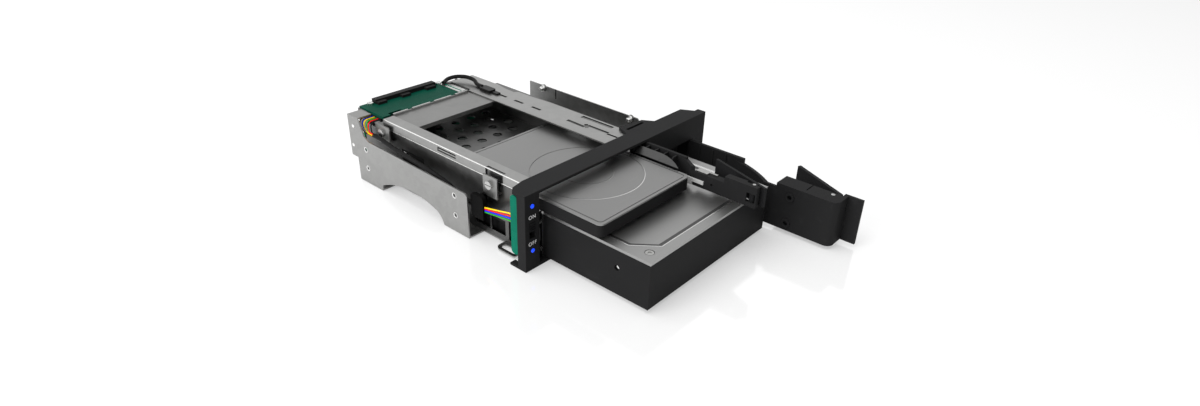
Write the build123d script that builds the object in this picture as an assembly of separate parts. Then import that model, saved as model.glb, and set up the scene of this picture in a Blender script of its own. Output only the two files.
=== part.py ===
"""Hot swap drive cage for a 5.25 inch bay, with one 3.5 inch and one 2.5 inch drive behind swing doors.

Millimetres. X runs to the right seen from the front, Y from the front panel to the rear, Z up. The
origin is the bottom centre of the front panel's face. Both doors are drawn closed and turned open.
"""

import os
from math import radians, tan

from build123d import *

# Front panel of a 5.25 inch bay
BEZEL_WIDTH = 149.0
BEZEL_HEIGHT = 42.35
BEZEL_DEPTH = 12.8
BEZEL_SKIN = 2.0
TOP_BEAM = 1.45
COLUMN_WIDTH = 9.5
COLUMN_DEPTH = 5.6
COLUMN_WALL = 1.2
POST_FROM_HINGE = 10.0
END_DEPTH = 5.5
UPPER_BLOCK_FROM_BAY = 10.2
UPPER_BLOCK_BOTTOM = 28.5
RUN_GAP = 0.4

# Sheet metal cage
SHEET = 0.8
CAGE_BOTTOM = 0.2
BEZEL_OVERHANG = 1.5
CAGE_REAR = 150.0
SIDE_HOLES_FROM_FRONT = 54.5
SIDE_HOLES_LENGTH = 79.25
SIDE_HOLES_HEIGHT = 10.0
SIDE_HOLES_RISE = 11.84
SIDE_HOLE_RADIUS = 1.6
WIRE_LANE = 10.3
BAY_35_WIDTH = 105.3
BAY_35_HEIGHT = 26.5
BAY_25_WIDTH = 71.9
BRACKET_RIGHT_HEIGHT = 23.8
VENT_RADIUS = 2.75
VENT_PITCH = 11.9
VENT_ROWS = 10
VENT_COLUMNS = 6

# Drives
DRIVE_35 = (101.6, 147.0, 25.4)
DRIVE_35_FRONT = -63.6
DRIVE_35_GUIDE = 3.0
DRIVE_35_COVER = 1.4
DRIVE_25 = (69.85, 100.1, 7.0)
DRIVE_25_FRONT = -36.0
DRIVE_25_GUIDE = 0.9
DRIVE_25_COVER = 0.8
DRIVE_GAP = 0.2
DRIVE_35_TRAVEL = 78.5
DRIVE_25_TRAVEL = 80.1
PLUG_DEPTH = 4.5

# Doors and levers, in their closed places
DOOR_35_HINGE_DEPTH = 9.5
DOOR_35_HINGE_SHARE = 0.326
DOOR_35_SKIN = 2.0
DOOR_35_DEPTH = 14.0
DOOR_35_HEIGHT = 26.0
DOOR_25_HINGE_DEPTH = 4.0
DOOR_25_HINGE_GAP = 4.5
DOOR_25_SKIN = 1.6
DOOR_25_DEPTH = 6.4
DOOR_25_HEIGHT = 11.3
DOOR_OPEN = 90.0
LEVER_35_PIN_DEPTH = 5.5
LEVER_35_PIN_FROM_COLUMN = 15.3
LEVER_35_OPEN = 26.0
LEVER_35_LENGTH = 36.5
LEVER_25_PIN_DEPTH = 3.4
LEVER_25_PIN_FROM_COLUMN = 6.9
LEVER_25_OPEN = 18.0
LEVER_25_LENGTH = 38.0
PIN_RADIUS_35 = 1.1
PIN_RADIUS_25 = 0.8
PIN_CLEARANCE = 0.05

# Status column
LED_RADIUS = 1.1
LED_HEIGHTS = (35.7, 11.0)
SWITCH_TRAVEL = 4.0
SWITCH_KNOB = (3.6, 4.4)
SWITCH_LOW = 18.1

# Boards and wires
BOARD = 1.6
BOARD_WIDTH = 61.4
BOARD_LENGTH = 24.1
WIRE_RADIUS = 0.36
SLEEVE_RADIUS = 1.3
CABLE_RADIUS = 1.25

# Heights of the stack, from the floor up
FLOOR_TOP = CAGE_BOTTOM + 2 * SHEET
DIVIDER_BOTTOM = FLOOR_TOP + BAY_35_HEIGHT
DIVIDER_TOP = DIVIDER_BOTTOM + SHEET
RAIL_TOP = BEZEL_HEIGHT - TOP_BEAM
RAIL_BOTTOM = RAIL_TOP - SHEET
DOOR_35_LOW = FLOOR_TOP + 0.3
DOOR_35_TOP = DOOR_35_LOW + DOOR_35_HEIGHT
DOOR_25_LOW = DIVIDER_TOP + DRIVE_GAP
DOOR_25_TOP = DOOR_25_LOW + DOOR_25_HEIGHT
DRIVE_35_LOW = FLOOR_TOP + DRIVE_GAP
DRIVE_35_TOP = DRIVE_35_LOW + DRIVE_35[2]
DRIVE_25_LOW = DIVIDER_TOP + DRIVE_GAP
DRIVE_25_TOP = DRIVE_25_LOW + DRIVE_25[2]

# Places across the width
BEZEL_LEFT = -BEZEL_WIDTH / 2
BEZEL_RIGHT = BEZEL_WIDTH / 2
COLUMN_RIGHT = BEZEL_LEFT + COLUMN_WIDTH
CAGE_LEFT = BEZEL_LEFT + BEZEL_OVERHANG
CAGE_RIGHT = BEZEL_RIGHT - BEZEL_OVERHANG
BAY_LEFT = CAGE_LEFT + WIRE_LANE
WALL_LEFT = BAY_LEFT - SHEET
BAY_35_RIGHT = BAY_LEFT + BAY_35_WIDTH
BAY_25_RIGHT = BAY_LEFT + BAY_25_WIDTH
UPPER_BLOCK_LEFT = BAY_25_RIGHT + UPPER_BLOCK_FROM_BAY
DOOR_35_HINGE = (BAY_35_RIGHT + (BEZEL_RIGHT - BAY_35_RIGHT) * DOOR_35_HINGE_SHARE, DOOR_35_HINGE_DEPTH)
DOOR_25_HINGE = (UPPER_BLOCK_LEFT - DOOR_25_HINGE_GAP, DOOR_25_HINGE_DEPTH)
LEVER_35_PIN = (COLUMN_RIGHT + LEVER_35_PIN_FROM_COLUMN, LEVER_35_PIN_DEPTH)
LEVER_25_PIN = (COLUMN_RIGHT + LEVER_25_PIN_FROM_COLUMN, LEVER_25_PIN_DEPTH)
RIGHT_POST_LEFT = DOOR_35_HINGE[0] + POST_FROM_HINGE
RAIL_LEFT = WALL_LEFT - SHEET
DRIVE_35_LEFT = BAY_LEFT + DRIVE_35_GUIDE + DRIVE_GAP
DRIVE_35_RIGHT = DRIVE_35_LEFT + DRIVE_35[0]
DRIVE_25_LEFT = BAY_LEFT + DRIVE_25_GUIDE + 0.3
DRIVE_25_RIGHT = DRIVE_25_LEFT + DRIVE_25[0]

# Places along the depth
DRIVE_35_REAR = DRIVE_35_FRONT + DRIVE_35[1]
DRIVE_25_REAR = DRIVE_25_FRONT + DRIVE_25[1]
BACKPLANE_FRONT = DRIVE_35_REAR + DRIVE_35_TRAVEL + 0.6
SOCKET_25_FRONT = DRIVE_25_REAR + DRIVE_25_TRAVEL + 0.4
CAGE_FRONT = BEZEL_DEPTH
BOARD_REAR = SOCKET_25_FRONT + 7.9
BOARD_FRONT = BOARD_REAR - BOARD_LENGTH
CROSS_REAR = BOARD_FRONT - 0.4
CROSS_FRONT = CROSS_REAR - 23.6
BOARD_LEFT = BAY_LEFT + 0.3
BOARD_RIGHT = BOARD_LEFT + BOARD_WIDTH
BOARD_LOW = RAIL_BOTTOM - SHEET
BOARD_TOP = BOARD_LOW + BOARD

# Wire ends
HEADER = (5.4, 11.0, 2.4)
WIRE_COLOURS = ("brown", "blue", "yellow", "green", "red", "black")
LED_WIRE_COLOURS = ("yellow", "red", "blue", "green")
SLEEVE_START = (CAGE_LEFT + 3.8, CROSS_REAR + 1.5, 31.2)
BRACKET_FRONT = SIDE_HOLES_FROM_FRONT - 10.2
CLIP_REAR = BRACKET_FRONT - 0.9
CLIP_FRONT = CLIP_REAR - 9.2
CLIP_LEFT = CAGE_LEFT + 1.8
CLIP_RIGHT = CAGE_LEFT + 4.2


def block(x0, x1, y0, y1, z0, z1):
    """A box between two opposite corners."""
    middle = Pos((x0 + x1) / 2, (y0 + y1) / 2, (z0 + z1) / 2)
    return middle * Box(x1 - x0, y1 - y0, z1 - z0)


def post(x, y, z0, z1, radius):
    """A round post along Z."""
    return Pos(x, y, (z0 + z1) / 2) * Cylinder(radius, z1 - z0)


def rod_x(x0, x1, y, z, radius):
    """A round rod along X."""
    return Pos((x0 + x1) / 2, y, z) * Rot(0, 90, 0) * Cylinder(radius, x1 - x0)


def rod_y(x, y0, y1, z, radius):
    """A round rod along Y."""
    return Pos(x, (y0 + y1) / 2, z) * Rot(90, 0, 0) * Cylinder(radius, y1 - y0)


def slab(points, z0, z1):
    """A flat plate with an outline of straight lines in X and Y."""
    outline = Pos(0, 0, z0) * make_face(Polyline(*points, close=True))
    return extrude(outline, amount=z1 - z0, dir=(0, 0, 1))


def upright(edges, x0, x1):
    """A plate that stands along Y, from a closed outline drawn in Y and Z as its own X and Y."""
    face = Plane((x0, 0, 0), x_dir=(0, 1, 0), z_dir=(1, 0, 0)) * make_face(edges)
    return extrude(face, amount=x1 - x0, dir=(1, 0, 0))


def rounded_slab(x0, x1, y0, y1, z0, z1, radius):
    """A flat plate with four equal round corners."""
    middle = Pos((x0 + x1) / 2, (y0 + y1) / 2, z0)
    return extrude(middle * RectangleRounded(x1 - x0, y1 - y0, radius), amount=z1 - z0, dir=(0, 0, 1))


def band(points, width, z0, z1):
    """A vertical strip of one width that follows straight lines in X and Y."""
    strip = None
    for start, end in zip(points, points[1:]):
        run = Vector(*end) - Vector(*start)
        middle = (Vector(*start) + Vector(*end)) / 2
        piece = Pos(middle.X, middle.Y, (z0 + z1) / 2) * Rot(0, 0, Vector(1, 0, 0).get_signed_angle(run))
        piece = piece * Box(run.length + width, width, z1 - z0)
        strip = piece if strip is None else strip + piece
    return strip


def tube(points, radius):
    """A wire along straight runs joined by arcs that are as large as each corner allows."""
    route = [Vector(*point) for point in points]
    radii = []
    for before, corner, after in zip(route, route[1:], route[2:]):
        run_in = corner - before
        run_out = after - corner
        half_turn = radians(run_in.get_angle(run_out)) / 2
        radii.append(0.45 * min(run_in.length, run_out.length) / tan(half_turn))
    path = FilletPolyline(*points, radius=radii)
    section = Plane(path @ 0, z_dir=path % 0) * Circle(radius)
    return sweep(section, path=path)


def turn(shape, centre, angle):
    """A shape turned about a vertical line."""
    x, y = centre
    return Pos(x, y, 0) * Rot(0, 0, angle) * Pos(-x, -y, 0) * shape


def open_35(shape):
    return turn(shape, DOOR_35_HINGE, DOOR_OPEN)


def open_25(shape):
    return turn(shape, DOOR_25_HINGE, DOOR_OPEN)


def save(shape, name):
    export_step(shape, f"parts/{name}.step")


def mid_column():
    return (BEZEL_LEFT + COLUMN_RIGHT) / 2


def bezel():
    """Front panel: status column, thin beams, right post and the fixed block at the upper right."""
    tab_left = UPPER_BLOCK_LEFT - 3.6
    top = slab(
        [
            (BEZEL_LEFT, 0), (BEZEL_RIGHT, 0), (BEZEL_RIGHT, END_DEPTH), (BEZEL_RIGHT - 3.6, END_DEPTH),
            (BEZEL_RIGHT - 7.8, BEZEL_DEPTH), (tab_left + 25.4, BEZEL_DEPTH),
            (tab_left + 21.3, BEZEL_DEPTH + 6.2), (tab_left + 4.1, BEZEL_DEPTH + 8.8),
            (tab_left, BEZEL_DEPTH), (BEZEL_LEFT + 10.5, BEZEL_DEPTH),
            (BEZEL_LEFT + 2.8, BEZEL_DEPTH - 1.7), (BEZEL_LEFT, COLUMN_DEPTH + 2.9),
        ],
        RAIL_TOP, BEZEL_HEIGHT,
    )
    top -= block(tab_left + 4.5, tab_left + 19, BEZEL_DEPTH + 2.4, BEZEL_DEPTH + 4.2, RAIL_TOP, BEZEL_HEIGHT)
    bottom = slab(
        [
            (COLUMN_RIGHT, 0), (BEZEL_RIGHT, 0), (BEZEL_RIGHT, END_DEPTH), (BEZEL_RIGHT - 3.6, END_DEPTH),
            (BEZEL_RIGHT - 7.8, BEZEL_DEPTH), (COLUMN_RIGHT, BEZEL_DEPTH),
        ],
        0, FLOOR_TOP,
    )
    column = block(BEZEL_LEFT, COLUMN_RIGHT, 0, COLUMN_DEPTH, 0, RAIL_TOP)
    column -= block(
        BEZEL_LEFT + COLUMN_WALL, COLUMN_RIGHT - COLUMN_WALL, BEZEL_SKIN, COLUMN_DEPTH, 3, RAIL_TOP - 1
    )
    for height in LED_HEIGHTS:
        column -= rod_y(mid_column(), -1, BEZEL_SKIN + 1, height, LED_RADIUS)
    slot_half = SWITCH_KNOB[0] / 2 + 0.2
    column -= block(
        mid_column() - slot_half, mid_column() + slot_half, -1, BEZEL_SKIN + 1,
        SWITCH_LOW - 0.2, SWITCH_LOW + SWITCH_KNOB[1] + SWITCH_TRAVEL + 0.2,
    )
    foot = block(BEZEL_LEFT, BEZEL_LEFT + 3.5, COLUMN_DEPTH, COLUMN_DEPTH + 5.7, 0, 1.2)
    post_right = block(RIGHT_POST_LEFT, BEZEL_RIGHT, 0, END_DEPTH, FLOOR_TOP, UPPER_BLOCK_BOTTOM)
    upper = block(UPPER_BLOCK_LEFT, BEZEL_RIGHT, 0, BEZEL_SKIN, UPPER_BLOCK_BOTTOM, RAIL_TOP)
    upper += block(
        UPPER_BLOCK_LEFT, RIGHT_POST_LEFT + 3, BEZEL_SKIN, BEZEL_DEPTH,
        UPPER_BLOCK_BOTTOM, UPPER_BLOCK_BOTTOM + BEZEL_SKIN,
    )
    upper += block(
        UPPER_BLOCK_LEFT, UPPER_BLOCK_LEFT + BEZEL_SKIN, BEZEL_SKIN, BEZEL_DEPTH, UPPER_BLOCK_BOTTOM, RAIL_TOP
    )
    upper += block(
        BEZEL_RIGHT - BEZEL_SKIN, BEZEL_RIGHT, BEZEL_SKIN, END_DEPTH, UPPER_BLOCK_BOTTOM, RAIL_TOP
    )
    hinge_x, hinge_y = DOOR_25_HINGE
    lug = block(
        hinge_x - 2, UPPER_BLOCK_LEFT, hinge_y - 2, hinge_y + 2, UPPER_BLOCK_BOTTOM, DIVIDER_TOP
    )
    panel = top + bottom + column + foot + post_right + upper + lug
    panel -= post(*DOOR_35_HINGE, 0.4, UPPER_BLOCK_BOTTOM + BEZEL_SKIN, PIN_RADIUS_35)
    panel -= post(*DOOR_25_HINGE, UPPER_BLOCK_BOTTOM, BEZEL_HEIGHT - 0.4, PIN_RADIUS_25)
    return panel


def led_lenses():
    lenses = [rod_y(mid_column(), -0.3, COLUMN_DEPTH - 1.2, height, LED_RADIUS) for height in LED_HEIGHTS]
    return Compound(lenses)


def switch_box_span():
    """Lowest and highest point of the switch knob's carrier over its travel."""
    return SWITCH_LOW - 1.2, SWITCH_LOW + SWITCH_KNOB[1] + SWITCH_TRAVEL + 1.2


def switch_housing():
    low, high = switch_box_span()
    middle = mid_column()
    half = SWITCH_KNOB[0] / 2
    housing = block(
        BEZEL_LEFT + COLUMN_WALL + 0.2, COLUMN_RIGHT - COLUMN_WALL - 0.2, BEZEL_SKIN, COLUMN_DEPTH,
        low - 1.4, high + 1.4,
    )
    housing -= block(middle - half - 1.2, middle + half + 1.2, BEZEL_SKIN + 0.6, COLUMN_DEPTH - 1, low, high)
    housing -= block(
        middle - half - 0.2, middle + half + 0.2, BEZEL_SKIN, BEZEL_SKIN + 0.6,
        SWITCH_LOW - 0.2, SWITCH_LOW + SWITCH_KNOB[1] + SWITCH_TRAVEL + 0.2,
    )
    return housing


def switch_knob():
    """The knob in its upper, switched-on place."""
    middle = mid_column()
    half = SWITCH_KNOB[0] / 2
    low = SWITCH_LOW + SWITCH_TRAVEL
    high = low + SWITCH_KNOB[1]
    knob = block(middle - half, middle + half, -0.4, COLUMN_DEPTH - 1.2, low, high)
    for number in range(3):
        ridge = low + 1.1 + 1.1 * number
        knob -= block(middle - half, middle + half, -0.4, 0, ridge - 0.25, ridge + 0.25)
    return knob + block(
        middle - half - 1, middle + half + 1, BEZEL_SKIN + 0.8, COLUMN_DEPTH - 1.2, low - 1, high + 1
    )


def led_board():
    """Narrow board that stands behind the column with its broad side to the left."""
    depth = 5.0
    low = 7.2
    high = RAIL_TOP - 0.9
    face = Plane((BEZEL_LEFT + 0.5, 0, 0), x_dir=(0, 1, 0), z_dir=(1, 0, 0))
    outline = Pos(COLUMN_DEPTH + depth / 2, (low + high) / 2) * RectangleRounded(depth, high - low, 2.2)
    return extrude(face * outline, amount=1.2, dir=(1, 0, 0))


def catch_plate():
    """Steel strip beside the column, where the large door's latch catches."""
    low = FLOOR_TOP + RUN_GAP
    high = UPPER_BLOCK_BOTTOM - RUN_GAP
    plate = block(COLUMN_RIGHT, COLUMN_RIGHT + 4.6, 3, 3 + SHEET, low, high)
    for height in catch_screw_heights():
        plate -= rod_y(catch_screw_x(), 3, 3 + SHEET, height, 0.7)
    plate -= block(COLUMN_RIGHT + 1.2, COLUMN_RIGHT + 3.4, 3, 3 + SHEET, 11, 19)
    return plate


def catch_screw_heights():
    return (7.5, 23.2)


def catch_screw_x():
    return COLUMN_RIGHT + 3


def catch_screws():
    screws = []
    for height in catch_screw_heights():
        screws.append(
            rod_y(catch_screw_x(), 2.2, 3, height, 1.2) + rod_y(catch_screw_x(), 3, 6, height, 0.7)
        )
    return Compound(screws)


def hinge_pin_35():
    return post(*DOOR_35_HINGE, 0.4, UPPER_BLOCK_BOTTOM + BEZEL_SKIN, PIN_RADIUS_35)


def hinge_pin_25():
    return post(*DOOR_25_HINGE, UPPER_BLOCK_BOTTOM, BEZEL_HEIGHT - 0.4, PIN_RADIUS_25)


def side_hole_places():
    """Y and Z of the four fixing holes in each side."""
    for y in (SIDE_HOLES_FROM_FRONT, SIDE_HOLES_FROM_FRONT + SIDE_HOLES_LENGTH):
        for rise in (SIDE_HOLES_HEIGHT, SIDE_HOLES_HEIGHT + SIDE_HOLES_RISE):
            yield y, CAGE_BOTTOM + rise


def base_plate():
    """Bay floor, with a slotted ear at the front left and a narrower rear end under the backplane."""
    low = FLOOR_TOP - SHEET
    right = CAGE_RIGHT - 15
    plate = block(WALL_LEFT, right, CAGE_FRONT, CAGE_REAR, low, FLOOR_TOP)
    plate += block(BAY_LEFT + 4.7, BAY_35_RIGHT - 2.6, CAGE_REAR - 5, BACKPLANE_FRONT + BOARD, low, FLOOR_TOP)
    ear = rounded_slab(WALL_LEFT - 7, WALL_LEFT + 4, CAGE_FRONT - 1.5, CAGE_FRONT + 14.2, low, FLOOR_TOP, 3.4)
    ear -= rounded_slab(
        WALL_LEFT - 5.2, WALL_LEFT - 1.4, CAGE_FRONT + 1, CAGE_FRONT + 12.2, low, FLOOR_TOP, 1.8
    )
    ear -= block(WALL_LEFT - 8, WALL_LEFT + 5, 0, CAGE_FRONT, low, FLOOR_TOP)
    ear -= block(WALL_LEFT, WALL_LEFT + 5, CAGE_FRONT, CAGE_FRONT + 15, low, FLOOR_TOP)
    return plate + ear


def left_side_bracket():
    """Outer left side: tall rear end, arched lower edge, flanges inward."""
    z0 = CAGE_BOTTOM
    front = BRACKET_FRONT
    hole = SIDE_HOLES_FROM_FRONT
    rear = CAGE_REAR - 1
    notch = rear - 6
    foot = rear - 28
    outline = [
        Polyline(
            (foot - 0.5, 3.7), (foot, z0), (notch, z0), (notch, 14.3), (rear, 14.3), (rear, RAIL_BOTTOM),
            (rear - 10, RAIL_BOTTOM), (rear - 14.8, 30), (rear - 18.5, 28), (hole - 8.5, 26.3),
            (front, 24.6), (front, z0), (hole + 10.4, z0),
        ),
        ThreePointArc((hole + 10.4, z0), (hole + 12.4, 4.2), (hole + 15.9, 6.8)),
        ThreePointArc((hole + 15.9, 6.8), (hole + 35.5, 10.4), (foot - 0.5, 3.7)),
    ]
    side = upright(outline, CAGE_LEFT, CAGE_LEFT + SHEET)
    for y, z in side_hole_places():
        side -= rod_x(CAGE_LEFT - 1, CAGE_LEFT + 2, y, z, SIDE_HOLE_RADIUS)
    inner = CAGE_LEFT + SHEET
    side += block(inner, BAY_LEFT + 2.7, front, hole + 10.4, z0, z0 + SHEET)
    side += block(inner, BAY_LEFT + 2.7, foot, notch, z0, z0 + SHEET)
    side += block(inner, WALL_LEFT, rear - 10, rear, RAIL_BOTTOM - SHEET, RAIL_BOTTOM)
    return side


def right_side_bracket():
    """Outer right side: a plain low plate with the same holes and flanges inward."""
    z0 = CAGE_BOTTOM
    top = z0 + BRACKET_RIGHT_HEIGHT
    front = SIDE_HOLES_FROM_FRONT - 7.5
    rear = CAGE_REAR - 2.5
    slit = rear - 25.2
    outline = Polyline(
        (front, z0), (rear, z0), (rear, top), (slit, top), (slit, top - 7), (slit - 1, top - 7),
        (slit - 1, top), (front + 2, top), (front, top - 2), close=True,
    )
    side = upright(outline, CAGE_RIGHT - SHEET, CAGE_RIGHT)
    for y, z in side_hole_places():
        side -= rod_x(CAGE_RIGHT - 2, CAGE_RIGHT + 1, y, z, SIDE_HOLE_RADIUS)
    inner = CAGE_RIGHT - SHEET
    flange = CAGE_RIGHT - 23
    side += block(flange, inner, front, front + 19, z0, z0 + SHEET)
    side += block(flange, inner, rear - 28.5, rear, z0, z0 + SHEET)
    return side


def left_bay_wall():
    """Inner left wall over both bays, with windows for wires and air and a tab under the rear board."""
    wall = block(WALL_LEFT, BAY_LEFT, CAGE_FRONT, BOARD_REAR, FLOOR_TOP, RAIL_BOTTOM)
    wall -= block(WALL_LEFT, BAY_LEFT, CROSS_REAR - 1, CROSS_REAR + 15.5, 33, RAIL_BOTTOM)
    wall -= block(WALL_LEFT, BAY_LEFT, BOARD_REAR - 5.5, BOARD_REAR, FLOOR_TOP, 26)
    wall -= block(WALL_LEFT, BAY_LEFT, CAGE_FRONT + 79, CAGE_FRONT + 99, 19, 27)
    slot_front = CAGE_FRONT + 48.5
    wall -= block(WALL_LEFT, BAY_LEFT, slot_front, slot_front + 17, RAIL_BOTTOM - 3.2, RAIL_BOTTOM - 0.2)
    wall -= block(WALL_LEFT, BAY_LEFT, CAGE_FRONT, CAGE_FRONT + 11, FLOOR_TOP + 2, 15)
    wall -= block(WALL_LEFT, BAY_LEFT, CAGE_FRONT + 13.5, CAGE_FRONT + 24, 5.2, 14)
    wall -= block(WALL_LEFT, BAY_LEFT, CAGE_FRONT + 25.2, CAGE_FRONT + 36, 5.2, 14)
    tab = block(BAY_LEFT, BAY_LEFT + 11, BOARD_REAR - 8, BOARD_REAR, BOARD_LOW - SHEET, BOARD_LOW)
    return wall + tab - board_screw_holes()


def right_bay_wall():
    """Right wall of the large bay."""
    wall = block(BAY_35_RIGHT, BAY_35_RIGHT + SHEET, CAGE_FRONT + 1.2, CAGE_REAR, FLOOR_TOP, DIVIDER_BOTTOM)
    for y in (52, 92, 132):
        wall -= block(BAY_35_RIGHT, BAY_35_RIGHT + SHEET, y - 12, y + 12, 10, 20)
    return wall


def bay_guides():
    """Plastic strips on the left wall that guide each drive's left side."""
    large = block(BAY_LEFT, BAY_LEFT + DRIVE_35_GUIDE, CAGE_FRONT + 1.2, CAGE_REAR, 12, 15)
    right = BAY_LEFT + DRIVE_25_GUIDE
    small = block(BAY_LEFT, right, CAGE_FRONT + 1.2, BOARD_REAR - 9, DIVIDER_TOP + 2, DIVIDER_TOP + 5)
    return Compound([large, small])


def guide_wall_25():
    """Right wall of the small bay, with a tab under the rear board."""
    wall = block(BAY_25_RIGHT, BAY_25_RIGHT + SHEET, CAGE_FRONT, BOARD_REAR, DIVIDER_TOP, RAIL_BOTTOM)
    notch_top = DIVIDER_TOP + 4
    wall -= block(BAY_25_RIGHT, BAY_25_RIGHT + SHEET, BOARD_REAR - 2.5, BOARD_REAR, DIVIDER_TOP, notch_top)
    tab = block(BOARD_RIGHT - 9, BAY_25_RIGHT, BOARD_REAR - 8, BOARD_REAR, BOARD_LOW - SHEET, BOARD_LOW)
    return wall + tab - board_screw_holes()


def rail_bracket_places():
    """Front and rear end of each screw bracket outside the left rail."""
    front = CAGE_FRONT + 15.7
    rear = CROSS_REAR - 9.5
    return ((front, front + 10.5), (rear, rear + 13))


def left_top_rail():
    """Top plate and outer flange along the upper left edge, with a spring tab cut out of the flange."""
    rear = CROSS_REAR - 2
    front_bracket = rail_bracket_places()[0]
    rail = block(RAIL_LEFT, RAIL_LEFT + 7.3, CAGE_FRONT - 3.8, rear, RAIL_BOTTOM, RAIL_TOP)
    rail += block(RAIL_LEFT, RAIL_LEFT + SHEET, CAGE_FRONT + 0.2, rear, RAIL_BOTTOM - 4.5, RAIL_BOTTOM)
    rail -= block(
        RAIL_LEFT - 1, RAIL_LEFT + 2.2, front_bracket[0] - 2.5, front_bracket[1], RAIL_BOTTOM - 5, RAIL_TOP
    )
    tab_front = CAGE_FRONT + 49.4
    tab_rear = tab_front + 15.1
    low = RAIL_BOTTOM - 2.8
    rail -= block(RAIL_LEFT, RAIL_LEFT + SHEET, tab_front, tab_rear, low, low + 0.85)
    rail -= block(RAIL_LEFT, RAIL_LEFT + SHEET, tab_front, tab_rear, low + 1.55, low + 2.4)
    return rail - block(RAIL_LEFT, RAIL_LEFT + SHEET, tab_rear - 0.85, tab_rear, low + 0.85, low + 1.55)


def right_top_rail():
    """Stepped and slotted plate along the upper right edge."""
    left = BAY_25_RIGHT - 9.2
    rail = slab(
        [
            (left, CAGE_FRONT - 2), (left + 17.5, CAGE_FRONT - 2), (left + 17.5, 16), (left + 21.6, 22.5),
            (left + 21.6, 77), (left + 20.4, CAGE_REAR - 58), (left + 20.4, CAGE_REAR - 46),
            (left + 18, CAGE_REAR - 44), (left + 18.6, CAGE_REAR - 36), (left + 20.3, CAGE_REAR - 27),
            (left + 20.3, CAGE_REAR - 2), (left, CAGE_REAR - 2),
        ],
        RAIL_BOTTOM, RAIL_TOP,
    )
    rail -= block(left + 17.6, left + 20.4, 25.5, 49, RAIL_BOTTOM, RAIL_TOP)
    track = [(left + 8.8, 50.5), (left + 9.2, 39), (left + 11.6, 36.5), (left + 11.6, 23.5)]
    rail -= band(track, 2.2, RAIL_BOTTOM, RAIL_TOP)
    rail -= band([(left + 10.4, 21.4), (left + 10.4, 15.8)], 1.6, RAIL_BOTTOM, RAIL_TOP)
    for y, length in ((73, 7.5), (88, 7.5), (102.6, 6.2)):
        rail -= block(left + 8, left + 9.8, y, y + length, RAIL_BOTTOM, RAIL_TOP)
    return rail


def rail_brackets():
    """Two screw brackets outside the left rail."""
    brackets = []
    outer = RAIL_LEFT - 2
    for front, rear in rail_bracket_places():
        middle = (front + rear) / 2
        plate = block(outer, outer + SHEET, front, rear, 26.5, 38)
        plate -= rod_x(outer, outer + SHEET, middle, 33.5, 1.25)
        inner = block(outer + SHEET, WALL_LEFT, front, rear, 29, 29 + SHEET)
        brackets.append(plate + inner)
    return Compound(brackets)


def rail_screws():
    screws = []
    outer = RAIL_LEFT - 2
    for front, rear in rail_bracket_places():
        middle = (front + rear) / 2
        head = rod_x(outer - 1.4, outer, middle, 33.5, 2.3)
        head -= block(outer - 1.4, outer - 0.8, middle - 2.3, middle + 2.3, 33.2, 33.8)
        screws.append(head + rod_x(outer, outer + SHEET, middle, 33.5, 1.25))
    return Compound(screws)


def divider_plate():
    """Perforated plate between the two bays."""
    plate = block(BAY_LEFT, BAY_35_RIGHT + SHEET, CAGE_FRONT + 1.2, CAGE_REAR, DIVIDER_BOTTOM, DIVIDER_TOP)
    holes = []
    row_pitch = VENT_PITCH * 0.866
    for row in range(VENT_ROWS):
        shift = VENT_PITCH / 2 if row % 2 else 0
        for column in range(VENT_COLUMNS):
            x = BAY_LEFT + 11.5 + shift + VENT_PITCH * column
            if x + VENT_RADIUS < BAY_25_RIGHT - 1:
                y = CAGE_FRONT + 30.4 + row_pitch * row
                holes.append(post(x, y, DIVIDER_BOTTOM, DIVIDER_TOP, VENT_RADIUS))
    return plate - holes


def rear_cross_plate():
    """Plate between the rails in front of the rear board, with a lip up and a lip down."""
    plate = block(BAY_LEFT, BAY_25_RIGHT, CROSS_FRONT, CROSS_REAR, BOARD_LOW, RAIL_BOTTOM)
    left = RAIL_LEFT + 8
    right = BAY_25_RIGHT - 10.2
    plate += block(left, right, CROSS_REAR - SHEET, CROSS_REAR, RAIL_BOTTOM, RAIL_TOP + 0.6)
    plate += block(left, right, CROSS_FRONT, CROSS_FRONT + SHEET, BOARD_LOW - 1.6, BOARD_LOW)
    for x in (left + 10.3, left + 26.3, left + 42.3):
        plate -= block(x, x + 3, CROSS_REAR - SHEET, CROSS_REAR, RAIL_TOP, RAIL_TOP + 0.6)
    return plate


def board_screw_places():
    y = BOARD_REAR - 2.5
    return ((BOARD_LEFT + 5.8, y), (BOARD_RIGHT - 5.5, y))


def board_screw_holes():
    return [post(x, y, BOARD_LOW - SHEET, BOARD_TOP, 1.1) for x, y in board_screw_places()]


def rear_board():
    """Green board over the small bay's rear end."""
    board = block(BOARD_LEFT, BOARD_RIGHT, BOARD_FRONT, BOARD_REAR, BOARD_LOW, BOARD_TOP)
    board -= block(BOARD_LEFT + 5, BOARD_LEFT + 14, BOARD_FRONT, BOARD_FRONT + 3, BOARD_LOW, BOARD_TOP)
    return board - board_screw_holes()


def rear_slot_connector():
    """Long socket along the rear edge of the board, with three latch steps."""
    left = board_screw_places()[0][0] + 3
    right = board_screw_places()[1][0] - 3
    body = block(left, right, BOARD_REAR - 4, BOARD_REAR, BOARD_TOP, BOARD_TOP + 2.4)
    for x, width in ((left, 6), ((left + right) / 2 - 5, 6), (right - 9, 7)):
        body += block(x, x + width, BOARD_REAR - 7, BOARD_REAR - 4, BOARD_TOP, BOARD_TOP + 1.6)
    return body


def board_screws():
    screws = []
    for x, y in board_screw_places():
        head = post(x, y, BOARD_TOP, BOARD_TOP + 1.3, 2)
        head -= block(x - 2, x + 2, y - 0.3, y + 0.3, BOARD_TOP + 0.7, BOARD_TOP + 1.3)
        screws.append(head + post(x, y, BOARD_LOW - SHEET, BOARD_TOP, 1.1))
    return Compound(screws)


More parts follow.
